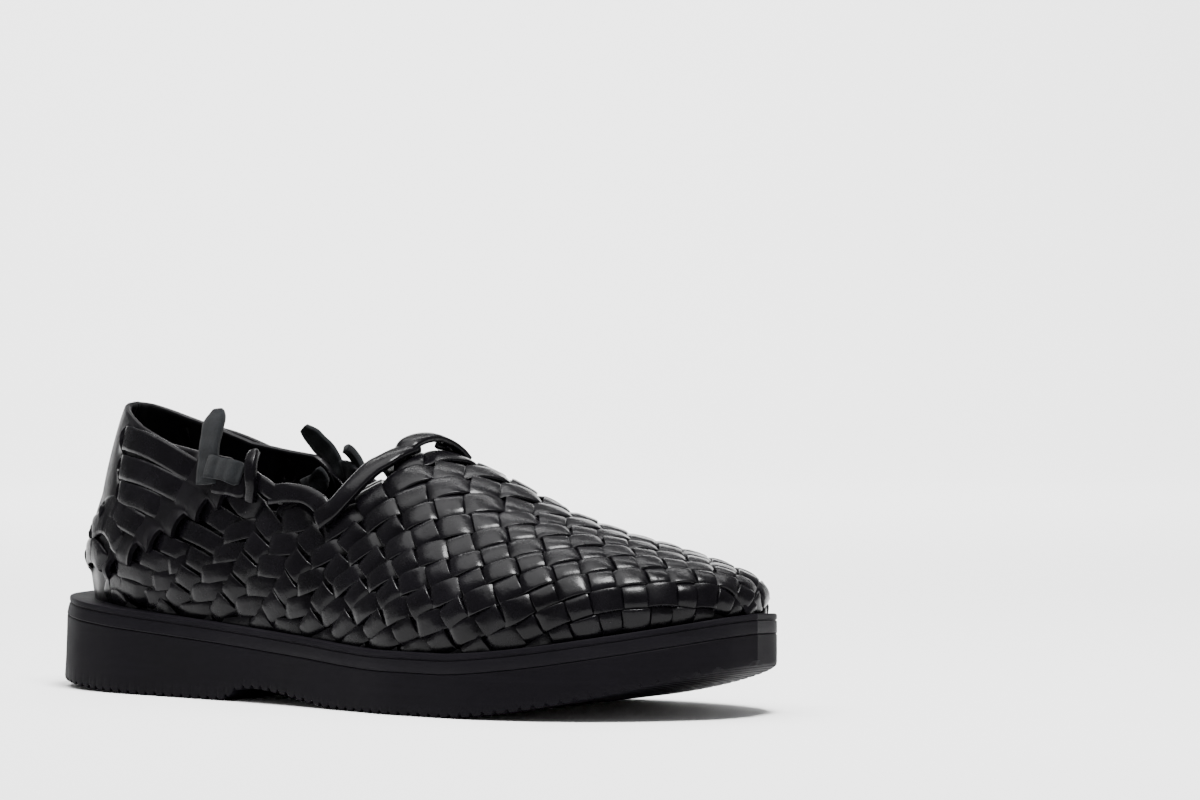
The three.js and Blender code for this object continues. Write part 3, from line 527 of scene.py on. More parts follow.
# Sole
def sole_body(name, levels, stations, material):
    """Closed body of stacked outline loops, each level with its inset and height, capped across by
    joining the outer edge to the inner edge at each station."""
    loops = []
    for inset, height in levels:
        loop = outline(stations, inset)
        loops.append(np.c_[loop, height(loop[:, 0])])
    rows, ring, count = len(loops), len(loops[0]), len(stations)
    walls = wall_quads(rows, ring)
    a = np.arange(1, count - 2)
    cap = np.stack([a, a + 1, ring - a - 1, ring - a], -1)
    ends = np.array([[0, 1, ring - 1], [count - 1, count, count - 2]])
    top, tips = cap + (rows - 1) * ring, ends + (rows - 1) * ring
    faces = np.vstack([walls, top, cap[:, ::-1]]).tolist() + np.vstack([tips, ends[:, ::-1]]).tolist()
    return put(name, np.vstack(loops), faces, material)


TREAD_PITCH, TREAD_DEPTH = 4.4, 1.1
GROOVE_START, GROOVE_WALL = 0.45, 0.3
GROOVE_STATIONS = np.arange(0.02, 0.98, TREAD_PITCH / 8 / LENGTH)
FINE = np.unique(np.r_[cosine_spaced(160), GROOVE_STATIONS].round(5))
EVEN = cosine_spaced(260)


def tread(x):
    """Grooves across the underside: a cosine along the length, cut off below and above to narrow slots."""
    wave = np.cos(2 * np.pi * x / TREAD_PITCH)
    return TREAD_DEPTH * np.clip((wave - GROOVE_START) / GROOVE_WALL, 0, 1)


def half(x):
    """Half of the foot's flare, where the two rubber layers meet."""
    return -flare(x) / 2


def seam(x):
    """Height of the joint between the outsole and the rand."""
    return sole_top(x) - MIDSOLE


outsole = sole_body("tread_sole", [
    (lambda x: 0.9 - flare(x), lambda x: sole_bottom(x) + tread(x)),
    (lambda x: 0.25 - flare(x), lambda x: sole_bottom(x) + 0.35 + tread(x)),
    (lambda x: -flare(x), lambda x: sole_bottom(x) + 1.5),
    (lambda x: -flare(x) * 0.8, lambda x: sole_bottom(x) * 0.7 + seam(x) * 0.3),
    (lambda x: -flare(x) * 0.6, lambda x: sole_bottom(x) * 0.3 + seam(x) * 0.7),
    (half, lambda x: seam(x) - 0.5),
    (lambda x: half(x) + 0.25, lambda x: seam(x) - 0.12),
    (lambda x: half(x) + 0.7, seam),
], FINE, RUBBER)
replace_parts(outsole, "outsole")
rand = sole_body("rand", [
    (lambda x: half(x) + 0.7, lambda x: seam(x) + 0.02),
    (lambda x: half(x) + 0.2, lambda x: seam(x) + 0.12),
    (half, lambda x: seam(x) + 0.5),
    (lambda x: half(x) * 0.4, lambda x: sole_top(x) - RIM_DROP - 1.6),
    (lambda x: 0 * x, lambda x: sole_top(x) - RIM_DROP - 0.5),
    (lambda x: 0 * x + 0.45, lambda x: sole_top(x) - RIM_DROP - 0.15),
    (lambda x: 0 * x + 0.45, lambda x: sole_top(x) - RIM_DROP + 0.1),
    (lambda x: 0 * x, lambda x: sole_top(x) - RIM_DROP + 0.4),
    (lambda x: 0 * x, lambda x: sole_top(x) - 0.6),
    (lambda x: 0 * x + 0.25, lambda x: sole_top(x) - 0.15),
    (lambda x: 0 * x + 0.8, sole_top),
], EVEN, RAND)
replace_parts(rand, "midsole")


def seat_inset(x):
    """How far the lining's edge stands inside the sole's edge."""
    return curve(LEDGE, 1, share(x)) + 4.8


seat = sole_body("seat_lining", [
    (lambda x: seat_inset(x) + 0.4, lambda x: sole_top(x) + 0.3), (seat_inset, lambda x: sole_top(x) + 0.7),
    (seat_inset, lambda x: sole_top(x) + 2.0), (lambda x: seat_inset(x) + 0.3, lambda x: sole_top(x) + 2.5),
    (lambda x: seat_inset(x) + 1.0, lambda x: sole_top(x) + 2.7),
], EVEN, LINING)
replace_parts(seat, "insole")


# Weave
def edge_height(table, x):
    """Height of a side-view edge line at x, straight between its points."""
    return np.interp(x, table[:, 0] * LENGTH, table[:, 1] * COLLAR_HEIGHT)


def cap_edge_x(z):
    """Place of the cap's front edge at a height."""
    return np.interp(z, CAP_FRONT[::-1, 1] * COLLAR_HEIGHT, CAP_FRONT[::-1, 0] * LENGTH)


def on_upper(p, run, under_cap):
    """Where the woven wall shows: under the top line, in front of the cap, and a little into the sole."""
    x, z = p[..., 0], p[..., 2]
    top = edge_height(TOPLINE, x)
    return (run > -3.5) & ((z < top) | (x > TOPLINE[-1, 0] * LENGTH)) & (x > cap_edge_x(z) - under_cap)


FLATNESS = 2.4


def flat_wave(x):
    """Over-and-under wave: a cosine pressed flat at its tops by tanh."""
    return np.tanh(FLATNESS * x) / math.tanh(FLATNESS)


# The last row of slits, where the strips numbered 6 to 1 come out from under the cap (x, z)
ROW3 = np.array([[92, 72], [82, 68], [71.5, 62], [61, 56], [50.6, 51], [36, 45]], float)
# Strips are numbered along the weave and walked along in tenths of a crossing
INDEX = np.arange(-3, 27)
WALK = np.arange(-4, 29, 0.1)
# Where each strip starts: 1 to 6 at their slit, lower ones by the heel, higher ones by the cap's front
HEEL_X, SECOND_X, FREE_X = 10, 26, 100
ROW3_X = np.interp(INDEX, [-3, 0, 1, 2, 3, 4, 5, 6, 7, 8, 30],
                   [HEEL_X, SECOND_X, *ROW3[::-1, 0], FREE_X, FREE_X, FREE_X])
# How far under the cap and behind its slit a strip is kept, the fewest steps that make one, and how
# it dives towards the slit
UNDER_CAP, BEHIND_SLIT, SHORTEST = 16.0, 7.0, 5
DIVE, DIVE_FROM, DIVE_REACH = 0.32, 5.0, 12.0
# The strips from the other side end this far in front of the cap, and up to there the rest lie free
FREE_RUN, FREE_FADE, FREE_LIFT = 17.0, 6.0, -1.3
# Middle height and swing of the wave against the last's surface, then each tile's own difference
MIDDLE_LIFT, SWING, UNEVEN, LEAN = -2.55, 1.0, 0.5, 0.3
# Ends tuck in under the top line, but not beside the cap
TUCK, TUCK_REACH, TUCK_FROM = 1.2, 4.0, 4.0
# Shares of the space between neighbours that the strips of each family fill, and limits of the width
DOWN_SHARE, UP_SHARE, NARROWEST, WIDEST, WAVER = 0.82, 0.94, 6.8, 11.0, 0.035
SECTION = strip_section(1.0, STRIP_THICK, 0.14)
SCATTER = 12.9898, 78.233, 43758.5453


def scattered(a, b):
    """Value from 0 to 1 with no visible order: the fraction left of a large sine."""
    value = np.sin(a * SCATTER[0] + b * SCATTER[1]) * SCATTER[2]
    return value - np.floor(value)


def weave_family(first, bundle):
    """All strips of one family: for each strip the developed line at constant weave coordinate, lifted
    by an over-and-under wave, as wide as its share of the space to the next strip, and kept where it
    lies on the upper. Both families swing alike, each up where the other is down."""
    def place(line):
        return weave_place(line, walk) if first else weave_place(walk, line)

    centre, walk = np.meshgrid(INDEX + 0.5, WALK, indexing="ij")
    u, v = place(centre)
    p, n = last_face(u, v)
    run = rim_run(u, v)
    own_side = (v < 0) if first else (v > 0)
    out = p[..., 0] - ROW3_X[:, None]
    from_slit = on_upper(p, run, UNDER_CAP) & (out > -BEHIND_SLIT)
    keep = np.where(own_side, from_slit, on_upper(p, run, -FREE_RUN))
    parity = np.where(INDEX % 2 == 0, -1, 1)[:, None] * (1 if first else -1)
    beat = parity * np.cos(np.pi * (walk - 0.5))
    lift = MIDDLE_LIFT + SWING * flat_wave(beat)
    # each tile differs a little in height and slopes down from its middle to both ends
    tile = np.floor(walk)
    slope = LEAN * (0.5 - np.abs(walk - tile - 0.5))
    lift = lift + np.where(beat > 0, (scattered(tile, centre) - 0.5) * UNEVEN + slope, 0)
    ahead = p[..., 0] - cap_edge_x(p[..., 2])
    free = np.clip((FREE_RUN - ahead) / FREE_FADE, 0, 1) * own_side
    lift = lift + (FREE_LIFT - lift) * free
    slitted = own_side & (INDEX < 7)[:, None]
    lift = lift - np.where(slitted, DIVE * np.clip(DIVE_FROM - out, 0, DIVE_REACH), 0)
    # ends tuck in along the top line
    under = np.clip(1 - (edge_height(TOPLINE, p[..., 0]) - p[..., 2]) / TUCK_REACH, 0, 1)
    lift = lift - TUCK * under * (p[..., 0] < TOPLINE[-1, 0] * LENGTH) * (ahead > TUCK_FROM)
    before, after = np.array(place(centre - 0.5)), np.array(place(centre + 0.5))
    gap = np.linalg.norm(last_point(after[0], after[1]) - last_point(before[0], before[1]), axis=-1)
    step = np.gradient(np.stack([u, v], -1), axis=1)
    span = after - before
    sine = np.abs(step[..., 0] * span[1] - step[..., 1] * span[0]) / np.maximum(
        np.linalg.norm(step, axis=-1) * np.linalg.norm(span, axis=0), 1e-9)
    wide = np.clip(gap * sine * (DOWN_SHARE if first else UP_SHARE), NARROWEST, WIDEST)
    wide = wide * (1 + WAVER * np.sin(walk * 2.1 + centre * 5.3))
    for k in range(len(INDEX)):
        cut = np.flatnonzero(np.diff(np.r_[0, keep[k].astype(int), 0]))
        for a, b in zip(cut[::2], cut[1::2]):
            if b - a < SHORTEST:
                continue
            w = slice(a, b)
            rings = ribbon(p[k, w] + n[k, w] * lift[k, w, None], n[k, w], SECTION, wide[k, w])
            bundle.add(rings, k * 0.37 + (0 if first else 0.5))


down, up = Bundle(), Bundle()
weave_family(True, down)
weave_family(False, up)
weave_down = down.make("weave_down", "leather", STRAP)
weave_up = up.make("weave_up", "leather", STRAP)
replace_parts(weave_down, "upper")
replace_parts(weave_up, "upper")


# Heel cap
def run_to(cx, phi, z_of):
    """Distance along each profile where its height meets z_of(x), found by halving and repeated with
    the point's own x."""
    low, high = np.full(len(cx), 2.0), np.full(len(cx), 150.0)
    for _ in range(30):
        m = (low + high) / 2
        p = last_point(cx + m * np.cos(phi), m * np.sin(phi))
        above = p[:, 2] > z_of(p[:, 0])
        low, high = np.where(above, m, low), np.where(above, high, m)
    return low


CAP_END, CAP_END_Z = 0.338 * LENGTH, 81
FLANK_STATIONS, HEEL_STATIONS = 74, 148
FLANK_X = np.linspace(CAP_END, U_HEEL, FLANK_STATIONS)
HEEL_PHI = np.linspace(-np.pi / 2, -1.5 * np.pi, HEEL_STATIONS + 2)[1:-1]
CAP_X = np.r_[FLANK_X, np.full(HEEL_STATIONS, U_HEEL), FLANK_X[::-1]]
CAP_PHI = np.r_[np.full(FLANK_STATIONS, -np.pi / 2), HEEL_PHI, np.full(FLANK_STATIONS, np.pi / 2)]
CAP_PHI = np.where(CAP_PHI < -np.pi, CAP_PHI + 2 * np.pi, CAP_PHI)
CAP_SIDE = np.where(CAP_PHI < 0, -1, 1)
# The front corner is rounded off over its last millimetres: how long, how far its top drops, and what
# share of that its lower edge rises
CORNER, CORNER_DROP, CORNER_RISE = 7, 5.5, 0.6
CORNER_TURN = np.clip((CAP_X - (CAP_END - CORNER)) / CORNER, 0, 1)
ROUND_OFF = CORNER_DROP * (1 - np.sqrt(np.clip(1 - CORNER_TURN ** 2, 0, 1)))
RUN_TOP = run_to(CAP_X, CAP_PHI, lambda x: edge_height(COLLAR_LINE, x)) + ROUND_OFF
# Half of a slit's slanting edge, then the lower edge's corners from the sole to the front corner
LENS = np.array([2.1, 4.4])
ZIGZAG = np.vstack([[CAP_END + 1, CAP_END_Z]] + [[c + LENS, c - LENS] for c in ROW3])[::-1]


def cap_low(x):
    """Lower edge of the cap: a little under the sole's top at the heel, then steps, each a slanting lens
    edge where a strip comes out and a short edge along the next strip."""
    return np.where(x < ZIGZAG[0, 0], sole_top(x) - 2.5, np.interp(x, ZIGZAG[:, 0], ZIGZAG[:, 1]))


RUN_LOW = np.maximum(run_to(CAP_X, CAP_PHI, cap_low) - ROUND_OFF * CORNER_RISE, RUN_TOP + 1.5)


def slit_places():
    """Developed places of the three slits of each strip, from back to front, on both sides."""
    found = {}
    for side in (-1, 1):
        a = locate(CAP_STRIPS[:, 0] * LENGTH, CAP_STRIPS[:, 1] * COLLAR_HEIGHT, side)
        b = locate(CAP_STRIPS[:, 2] * LENGTH, CAP_STRIPS[:, 3] * COLLAR_HEIGHT, side)
        c = locate(ROW3[:, 0], ROW3[:, 1], side)
        found[side] = [np.stack(q, -1) for q in (a, b, c)]
    return found


SLITS = slit_places()
# The sheet's shape at a slit: half width across the strip, rise or depth, and run along it
SLIT_BACK = 0.4
FLAP_HALF, FLAP_RISE, FLAP_RUN = 5.6, 2.9, 10
PIT_DEPTH, PIT_RUN = 2.0, 4
RAISED_HALF, RAISED_LIFT, RAISED_RAMP, RAISED_RUN = 6.5, 1.3, 1.5, 16
LENS_HALF, LENS_RISE, LENS_RUN = 6.2, 2.4, 12


def lips(u, v, side):
    """Lift of the cap's sheet. Behind the back slit it swells into a flap that ends at the slit, with a
    pit in front where the strip comes up. In front of the middle slit, over the hidden strip, it stays
    a little raised, and towards the front slit it swells into a lens."""
    def along_across(p, q, at):
        way = (q - p) / np.linalg.norm(q - p)
        return ((u - at[0]) * way[0] + (v - at[1]) * way[1],
                (u - at[0]) * -way[1] + (v - at[1]) * way[0])

    lift = np.zeros_like(u)
    for back, middle, front in zip(*SLITS[side]):
        s, d = along_across(back, middle, back)
        arch = np.clip(1 - (d / FLAP_HALF) ** 2, 0, 1)
        flap = FLAP_RISE * arch ** 0.8 * np.clip((s + FLAP_RUN) / FLAP_RUN, 0, 1) ** 1.6 * (s < SLIT_BACK)
        lift = np.maximum(lift, flap)
        pit = np.clip(1 - (s - SLIT_BACK) / PIT_RUN, 0, 1) * (s >= SLIT_BACK)
        lift = lift - PIT_DEPTH * arch ** 0.4 * pit
        s, d = along_across(back, middle, middle)
        raised = np.clip(1 - (d / RAISED_HALF) ** 4, 0, 1) * np.clip((s + RAISED_RAMP) / RAISED_RAMP, 0, 1)
        raised = raised * np.clip(1 - s / RAISED_RUN, 0, 1)
        lift = np.maximum(lift, RAISED_LIFT * raised)
        s, d = along_across(middle, front, front)
        arch = np.clip(1 - (d / LENS_HALF) ** 2, 0, 1)
        lift = np.maximum(lift, LENS_RISE * arch * np.clip((s + LENS_RUN) / LENS_RUN, 0, 1) ** 1.4)
    return lift


# Outer and inner faces of the cap against the last, the lift its inner face follows, and its rim
CAP_ROWS, CAP_OUT, CAP_IN, CAP_FOLLOW, CAP_HOLLOW = 64, 0.3, -2.3, 0.95, 0.7
RIM_ROUND, RIM_RISE, RIM_CROWN = 0.35, 0.7, 1.05
CURL, CURL_RUN, CURL_END, SWAY = 0.6, 5.0, 60, 0.35


def cap_sheet():
    """The cap as one sheet: rings that go up the outer face, over the rounded collar edge, down the
    inner face and round the lower edge, carried from one front corner round the heel to the other."""
    rows = CAP_ROWS
    t = np.linspace(0, 1, rows)
    run = RUN_LOW[:, None] + (RUN_TOP - RUN_LOW)[:, None] * t[None]
    u = CAP_X[:, None] + run * np.cos(CAP_PHI)[:, None]
    v = run * np.sin(CAP_PHI)[:, None]
    p, n = last_face(u, v)
    lift = np.empty_like(u)
    for side in (-1, 1):
        m = CAP_SIDE == side
        lift[m] = lips(u[m], v[m], side)
    # the lower edge curls outwards unevenly round the heel, and the whole sheet sways a little
    edge = np.exp(-((t[None] * (RUN_LOW - RUN_TOP)[:, None]) / CURL_RUN) ** 2)
    curl = CURL * edge * (np.sin(CAP_X * 0.9 + CAP_PHI * 5) * 0.5 + 0.6)[:, None]
    curl = curl * (CAP_X < CURL_END)[:, None]
    sway = SWAY * np.sin(u * 0.11 + 1.0) * np.sin(v * 0.09)
    outer = p + n * (CAP_OUT + lift + sway + curl)[..., None]
    below = CAP_IN + sway + CAP_FOLLOW * np.clip(lift, 0, None) + CAP_HOLLOW * (lift > 0.8)
    inner = p + n * below[..., None]
    up = outer[:, -1] - outer[:, -2]
    up /= np.linalg.norm(up, axis=1, keepdims=True)
    top = [outer[:, -1] + up * RIM_RISE - n[:, -1] * RIM_ROUND,
           outer[:, -1] * 0.5 + inner[:, -1] * 0.5 + up * RIM_CROWN,
           inner[:, -1] + up * RIM_RISE + n[:, -1] * RIM_ROUND]
    down = [inner[:, 0] - up * RIM_ROUND, outer[:, 0] - up * RIM_ROUND]
    rings = np.concatenate([outer, np.stack(top, 1), inner[:, ::-1], np.stack(down, 1)], axis=1)
    count, ring = rings.shape[:2]
    quads = np.roll(wall_quads(count, ring), -1, axis=1)

    def opposite(row):
        """Number of the inner face's point on the same row."""
        return 2 * rows + 2 - row

    # each front end is closed row by row, then over the rim and under the lower edge
    pair = np.arange(rows - 1)
    first = np.stack([opposite(pair), opposite(pair + 1), pair + 1, pair], -1)
    rim = [rows + 3, rows + 2, rows + 1, rows, rows - 1]
    low = [ring - 2, opposite(0), 0, ring - 1]
    shift = (count - 1) * ring
    faces = np.vstack([quads, first, first[:, ::-1] + shift]).tolist() + [rim, low]
    faces += [[shift + q for q in reversed(face)] for face in (rim, low)]
    return put("cap_sheet", rings, faces, SHEET)


cap = cap_sheet()
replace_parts(cap, "heel_cap")


# The strips over the cap: how far they go past both slits, then depth, climb, start and softness of
# the wave at the back slit and at the front slit
STRIP_STEPS, STRIP_FROM, STRIP_TO, STRIP_DEEPEST = 34, -0.05, 1.08, -2.0
BACK_WAVE, FRONT_WAVE = (-2.6, 2.85, 0.8, 2.6), (-0.9, 1.0, 1.2, 2.4)


def cap_strip_bundle():
    """Strips over the cap: each runs from under its back slit over the sheet and under its front slit,
    lifted by a smooth step at each of them."""
    def step(distance, wave):
        depth, climb, start, soft = wave
        return depth + climb * np.tanh((distance + start) / soft)

    bundle = Bundle()
    section = strip_section(CAP_STRIP, 2.0, 0.3)
    t = np.linspace(STRIP_FROM, STRIP_TO, STRIP_STEPS)
    for side in (-1, 1):
        for k, (back, front) in enumerate(zip(*SLITS[side][:2])):
            place = back + (front - back) * t[:, None]
            p, n = last_face(place[:, 0], place[:, 1])
            size = np.linalg.norm(front - back)
            lift = np.maximum(step(t * size, BACK_WAVE), STRIP_DEEPEST)
            lift = np.where(t > 0.5, step((1 - t) * size, FRONT_WAVE), lift)
            bundle.add(ribbon(p + n * lift[:, None], n, section), k * 0.31 + side)
    return bundle.make("cap_strips", "leather", STRAP)


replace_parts(cap_strip_bundle(), "heel_cap")


# Thongs and strands, along the solid model's lines: rows of share along, share of collar height, lift
TIE_WIDTH, TIE_THICK, STRAND_WIDTH, STRAND_THICK = 8.5, 2.0, 8.0, 2.2
KNOT_WIDTH, KNOT_THICK = 9.0, 4.0
TIE_END = np.array([[0.288, 0.72, 0.6], [0.287, 0.77, 1.4], [0.285, 0.83, 2.2], [0.282, 0.9, 1.6],
                    [0.278, 0.965, 0.6]])
TIE_TURN = np.array([[0.288, 0.778, 1.8], [0.302, 0.772, 2.6], [0.318, 0.765, 2.5], [0.333, 0.757, 2.2],
                     [0.345, 0.75, 1.6]])
TIE_FLAT = np.array([[0.30, 0.735, 0.6], [0.325, 0.725, 0.9], [0.352, 0.715, 0.6]])
TIE_LOOP = np.array([[0.363, 0.672, 0.3], [0.366, 0.71, 2.2], [0.363, 0.76, 3.2], [0.358, 0.80, 2.4],
                     [0.355, 0.822, 0.8]])
INNER_END = np.array([[0.33, 0.72, 0.8], [0.325, 0.78, 1.6], [0.308, 0.84, 2.0], [0.29, 0.9, 0.8]])
INNER_TURN = np.array([[0.322, 0.735, 1.0], [0.335, 0.745, 1.8], [0.345, 0.75, 1.8], [0.36, 0.74, 1.0]])
KNOT = np.array([[0.302, 0.70, 0], [0.312, 0.715, 0.5], [0.322, 0.73, 0.8], [0.322, 0.748, 0.5],
                 [0.318, 0.765, 0]])
STRAND = np.array([[0.472, 0.61, 0.2], [0.49, 0.64, 0.8], [0.503, 0.68, 1.0], [0.516, 0.735, 1.0],
                   [0.525, 0.775, 0.8], [0.533, 0.795, 1.0], [0.543, 0.838, 0.3]])
TOP_EDGE = np.array([[0.36, 0.745, 0.8], [0.378, 0.722, 1.0], [0.398, 0.694, 0.8], [0.415, 0.672, 0.1]])
TOP_CURL = np.array([[0.39, 0.69, 0.1], [0.415, 0.695, 1.2], [0.44, 0.69, 1.8], [0.465, 0.668, 1.2],
                     [0.482, 0.63, 0.1]])
# The strip over the throat: share along, share of the width across, share of the rise
LOOP_RISE, LOOP_SAG = 5.2, 0.55
LOOP = np.array([[0.537, -0.1132, 0.088], [0.538, -0.0896, 0.647], [0.54, -0.0472, 0.971], [0.543, 0, 1],
                 [0.547, 0.0472, 0.765], [0.552, 0.0943, 0.353], [0.555, 0.1321, 0.088]])
THONG_STEPS, LOOP_STEPS = 40, 44


def eased(rows, count):
    """Even steps along a table's rows, each column a smooth curve through its values."""
    table = np.c_[np.arange(len(rows)), rows]
    t = np.linspace(0, len(rows) - 1, count)
    return np.stack([curve(table, k + 1, t) for k in range(rows.shape[1])], -1)


def thong(bundle, rows, side, width, thick, cut, twist=0.25, base=0.6, seed=0, dome=0.15):
    """Strap laid along a side-view line at its own lifts: its width wavers a little, its far end narrows
    by the cut, and its face ripples along the way."""
    path = eased(rows, THONG_STEPS)
    u, v = locate(path[:, 0] * LENGTH, path[:, 1] * COLLAR_HEIGHT, side)
    p, n = last_face(u, v)
    t = np.linspace(0, 1, THONG_STEPS)
    ripple = twist * np.sin(t * 9 + seed) + 0.5 * twist * np.sin(t * 23 + seed * 2)
    widths = (1 + 0.06 * np.sin(t * 7 + seed)) * (1 - cut * np.clip((t - 0.8) / 0.2, 0, 1) ** 1.5)
    points = p + n * (base + path[:, 2] + ripple)[:, None]
    bundle.add(ribbon(points, n, strip_section(width, thick, dome), widths), seed)


ties = {side: Bundle() for side in (-1, 1)}
thong(ties[-1], TIE_END, -1, TIE_WIDTH * 1.1, TIE_THICK, 0.55, seed=1)
thong(ties[-1], TIE_TURN, -1, TIE_WIDTH, TIE_THICK, 0.2, seed=2)
thong(ties[1], INNER_END, 1, TIE_WIDTH, TIE_THICK, 0.5, seed=4)
thong(ties[1], INNER_TURN, 1, TIE_WIDTH, TIE_THICK, 0.2, seed=5)
thong(ties[1], TIE_LOOP, 1, 3.6, 3.0, 0.1, 0.15, seed=6)
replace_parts(ties[-1].make("tie_outer_thong", "suede", SUEDE), "tie_outer")
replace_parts(ties[1].make("tie_inner_thong", "suede", SUEDE), "tie_inner")
flat = Bundle()
thong(flat, TIE_FLAT, -1, 9.5, 1.7, 0.25, 0.2, 0.5, seed=7)
thong(flat, TIE_LOOP, -1, 4.2, 2.6, 0.1, 0.15, seed=3)
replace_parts(flat.make("tie_outer_flat", "leather", STRAP), "tie_outer")
knot = Bundle()
thong(knot, KNOT, 1, KNOT_WIDTH, KNOT_THICK * 0.5, 0.3, 0.3, -7.0, seed=8, dome=0.8)
thong(knot, KNOT[1:4], 1, KNOT_WIDTH * 0.75, KNOT_THICK * 0.45, 0.2, 0.2, -5.4, seed=9, dome=0.8)
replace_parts(knot.make("knot", "suede", SUEDE), "tie_knot")
for side, name in ((-1, "strand_outer"), (1, "strand_inner")):
    edge = Bundle()
    thong(edge, STRAND, side, STRAND_WIDTH, STRAND_THICK, 0.15, 0.15, 0.5, seed=10 + side, dome=0.5)
    thong(edge, TOP_EDGE, side, 5.5, 1.7, 0.3, 0.1, 0.3, seed=12 + side, dome=0.3)
    thong(edge, TOP_CURL, side, 7.0, 1.7, 0.3, 0.1, 0.3, seed=14 + side, dome=0.3)
    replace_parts(edge.make(name + "_strap", "leather", STRAP), name)


def throat_loop():
    """The strip bent over the throat's middle: its rows give the place along, across and the lift."""
    path = eased(LOOP, LOOP_STEPS)
    p, n = last_face(path[:, 0] * LENGTH, path[:, 1] * BALL_WIDTH)
    bundle = Bundle()
    t = np.linspace(0, 1, LOOP_STEPS)
    points = p + n * (0.4 + path[:, 2] * LOOP_RISE * LOOP_SAG + 0.12 * np.sin(t * 17))[:, None]
    section = strip_section(STRAND_WIDTH, STRAND_THICK, 0.5)
    bundle.add(ribbon(points, n, section, 1 + 0.05 * np.sin(t * 8)), 0.4)
    return bundle.make("throat_strap", "leather", STRAP)


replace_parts(throat_loop(), "throat_loop")


# Floor, light and camera
FLOOR_ROWS, FLOOR_COLUMNS, FLOOR_TURN = 40, 9, math.radians(38)
FLOOR_FRONT, FLOOR_DEPTH, FLOOR_CURL, FLOOR_HALF = -1.5, 4.0, 1.5, 4


def floor_sheet():
    """A plain sweep: a profile that is flat and then curves up far behind, pushed sideways."""
    t = np.linspace(0, 1, FLOOR_ROWS)
    turn = (t - 0.5) * np.pi
    y = np.where(t < 0.5, FLOOR_FRONT + t * 2 * FLOOR_DEPTH,
                 FLOOR_FRONT + FLOOR_DEPTH + FLOOR_CURL * np.sin(turn))
    z = np.where(t < 0.5, 0, FLOOR_CURL * (1 - np.cos(turn)))
    xs, ys = np.meshgrid(np.linspace(-FLOOR_HALF, FLOOR_HALF, FLOOR_COLUMNS), y, indexing="ij")
    zs = np.broadcast_to(z, xs.shape)
    px = xs * math.cos(FLOOR_TURN) - ys * math.sin(FLOOR_TURN)
    py = xs * math.sin(FLOOR_TURN) + ys * math.cos(FLOOR_TURN)
    points = np.stack([px, py, zs], -1).reshape(-1, 3)
    i, j = np.meshgrid(np.arange(FLOOR_COLUMNS - 1), np.arange(FLOOR_ROWS - 1), indexing="ij")
    k = i * FLOOR_ROWS + j
    quads = np.stack([k, k + FLOOR_ROWS, k + FLOOR_ROWS + 1, k + 1], -1).reshape(-1, 4)
    mesh = bpy.data.meshes.new("floor")
    mesh.from_pydata(points.tolist(), [], quads.tolist())
    mesh.polygons.foreach_set("use_smooth", np.ones(len(mesh.polygons), dtype=bool))
    sheet = bpy.data.objects.new("floor", mesh)
    bpy.context.scene.collection.objects.link(sheet)
    material, nodes, links, shader, place = blank("paper")
    paper = greys(nodes, links, noise(nodes, links, place, 3, 2), (0.3, 0.95), (0.7, 0.965))
    links.new(paper, shader.inputs["Base Color"])
    shader.inputs["Roughness"].default_value = 0.9
    mesh.materials.append(material)


def lamp(name, place, aim, size, power):
    """Soft rectangular light aimed at a point."""
    data = bpy.data.lights.new(name, "AREA")
    data.shape = "RECTANGLE"
    data.size, data.size_y = size
    data.energy = power
    light = bpy.data.objects.new(name, data)
    way = np.array(aim, float) - np.array(place, float)
    light.location = place
    tilt, turn = math.acos(-way[2] / np.linalg.norm(way)), math.atan2(way[1], way[0]) - math.pi / 2
    light.rotation_euler = (tilt, 0, turn)
    bpy.context.scene.collection.objects.link(light)


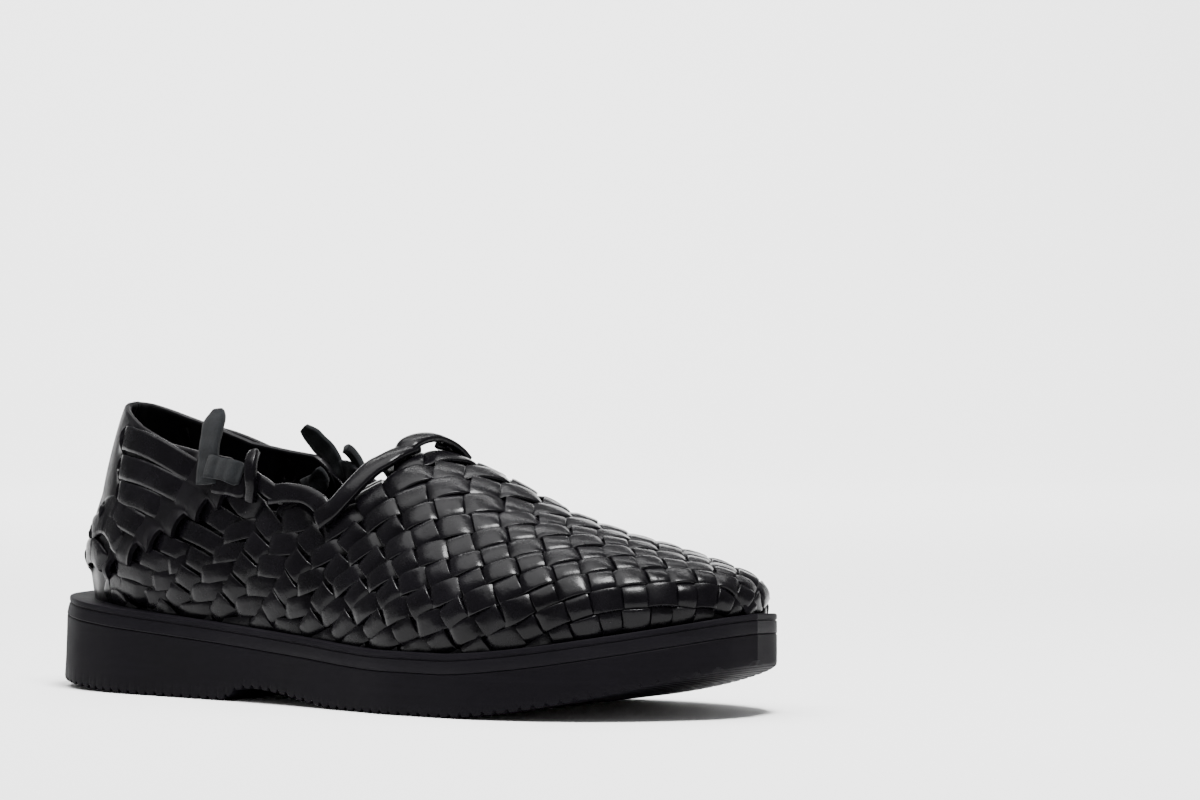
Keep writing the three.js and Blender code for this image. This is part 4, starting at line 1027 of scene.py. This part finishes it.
# The photograph's camera: its direction, height and distance from a point of the sole, its two turns
# from facing that point's upright line, and its lens in pixels of the photograph's width
VIEW_TURN, VIEW_HEIGHT, VIEW_DISTANCE, VIEW_X = math.radians(38.078), 0.131677, 1.6016, 150
VIEW_YAW, VIEW_PITCH = math.radians(2.538), math.radians(0.854)
LENS_PIXELS, PHOTO_WIDTH, SENSOR = 4456.465, 1200, 36


def camera():
    """The photograph's view: 38 degrees round to the toe's side, 1.6 m away and a little above."""
    away = np.array([math.sin(VIEW_TURN), -math.cos(VIEW_TURN), 0])
    ref = np.array([(VIEW_X - MIDDLE) / 1000, 0, 0])
    place = ref + VIEW_DISTANCE * away + np.array([0, 0, VIEW_HEIGHT])
    front = -away
    right = np.array([math.cos(VIEW_TURN), math.sin(VIEW_TURN), 0])
    ahead = front * math.cos(VIEW_YAW) + right * math.sin(VIEW_YAW)
    side = right * math.cos(VIEW_YAW) - front * math.sin(VIEW_YAW)
    ahead = ahead * math.cos(VIEW_PITCH) + np.array([0, 0, -1.0]) * math.sin(VIEW_PITCH)
    over = np.cross(side, ahead)
    data = bpy.data.cameras.new("camera")
    data.sensor_width = SENSOR
    data.lens = LENS_PIXELS / PHOTO_WIDTH * SENSOR
    data.clip_start, data.clip_end = 0.05, 30
    view = bpy.data.objects.new("camera", data)
    view.matrix_world = Matrix(np.c_[side, over, -ahead, place].tolist() + [[0, 0, 0, 1]])
    bpy.context.scene.collection.objects.link(view)
    bpy.context.scene.camera = view


floor_sheet()
lamp("key", (0.35, -0.1, 1.4), (0.02, 0, 0.04), (0.4, 0.4), 50)
lamp("wide", (-0.4, -0.6, 2.6), (0, 0, 0), (2.4, 2.4), 95)
lamp("back", (-1.0, 1.3, 2.3), (-2.1, 2.7, 0.7), (2.4, 1.2), 230)
world = bpy.data.worlds.new("studio")
world.use_nodes = True
world.node_tree.nodes["Background"].inputs["Color"].default_value = (1, 1, 1, 1)
world.node_tree.nodes["Background"].inputs["Strength"].default_value = 0.35
bpy.context.scene.world = world
camera()
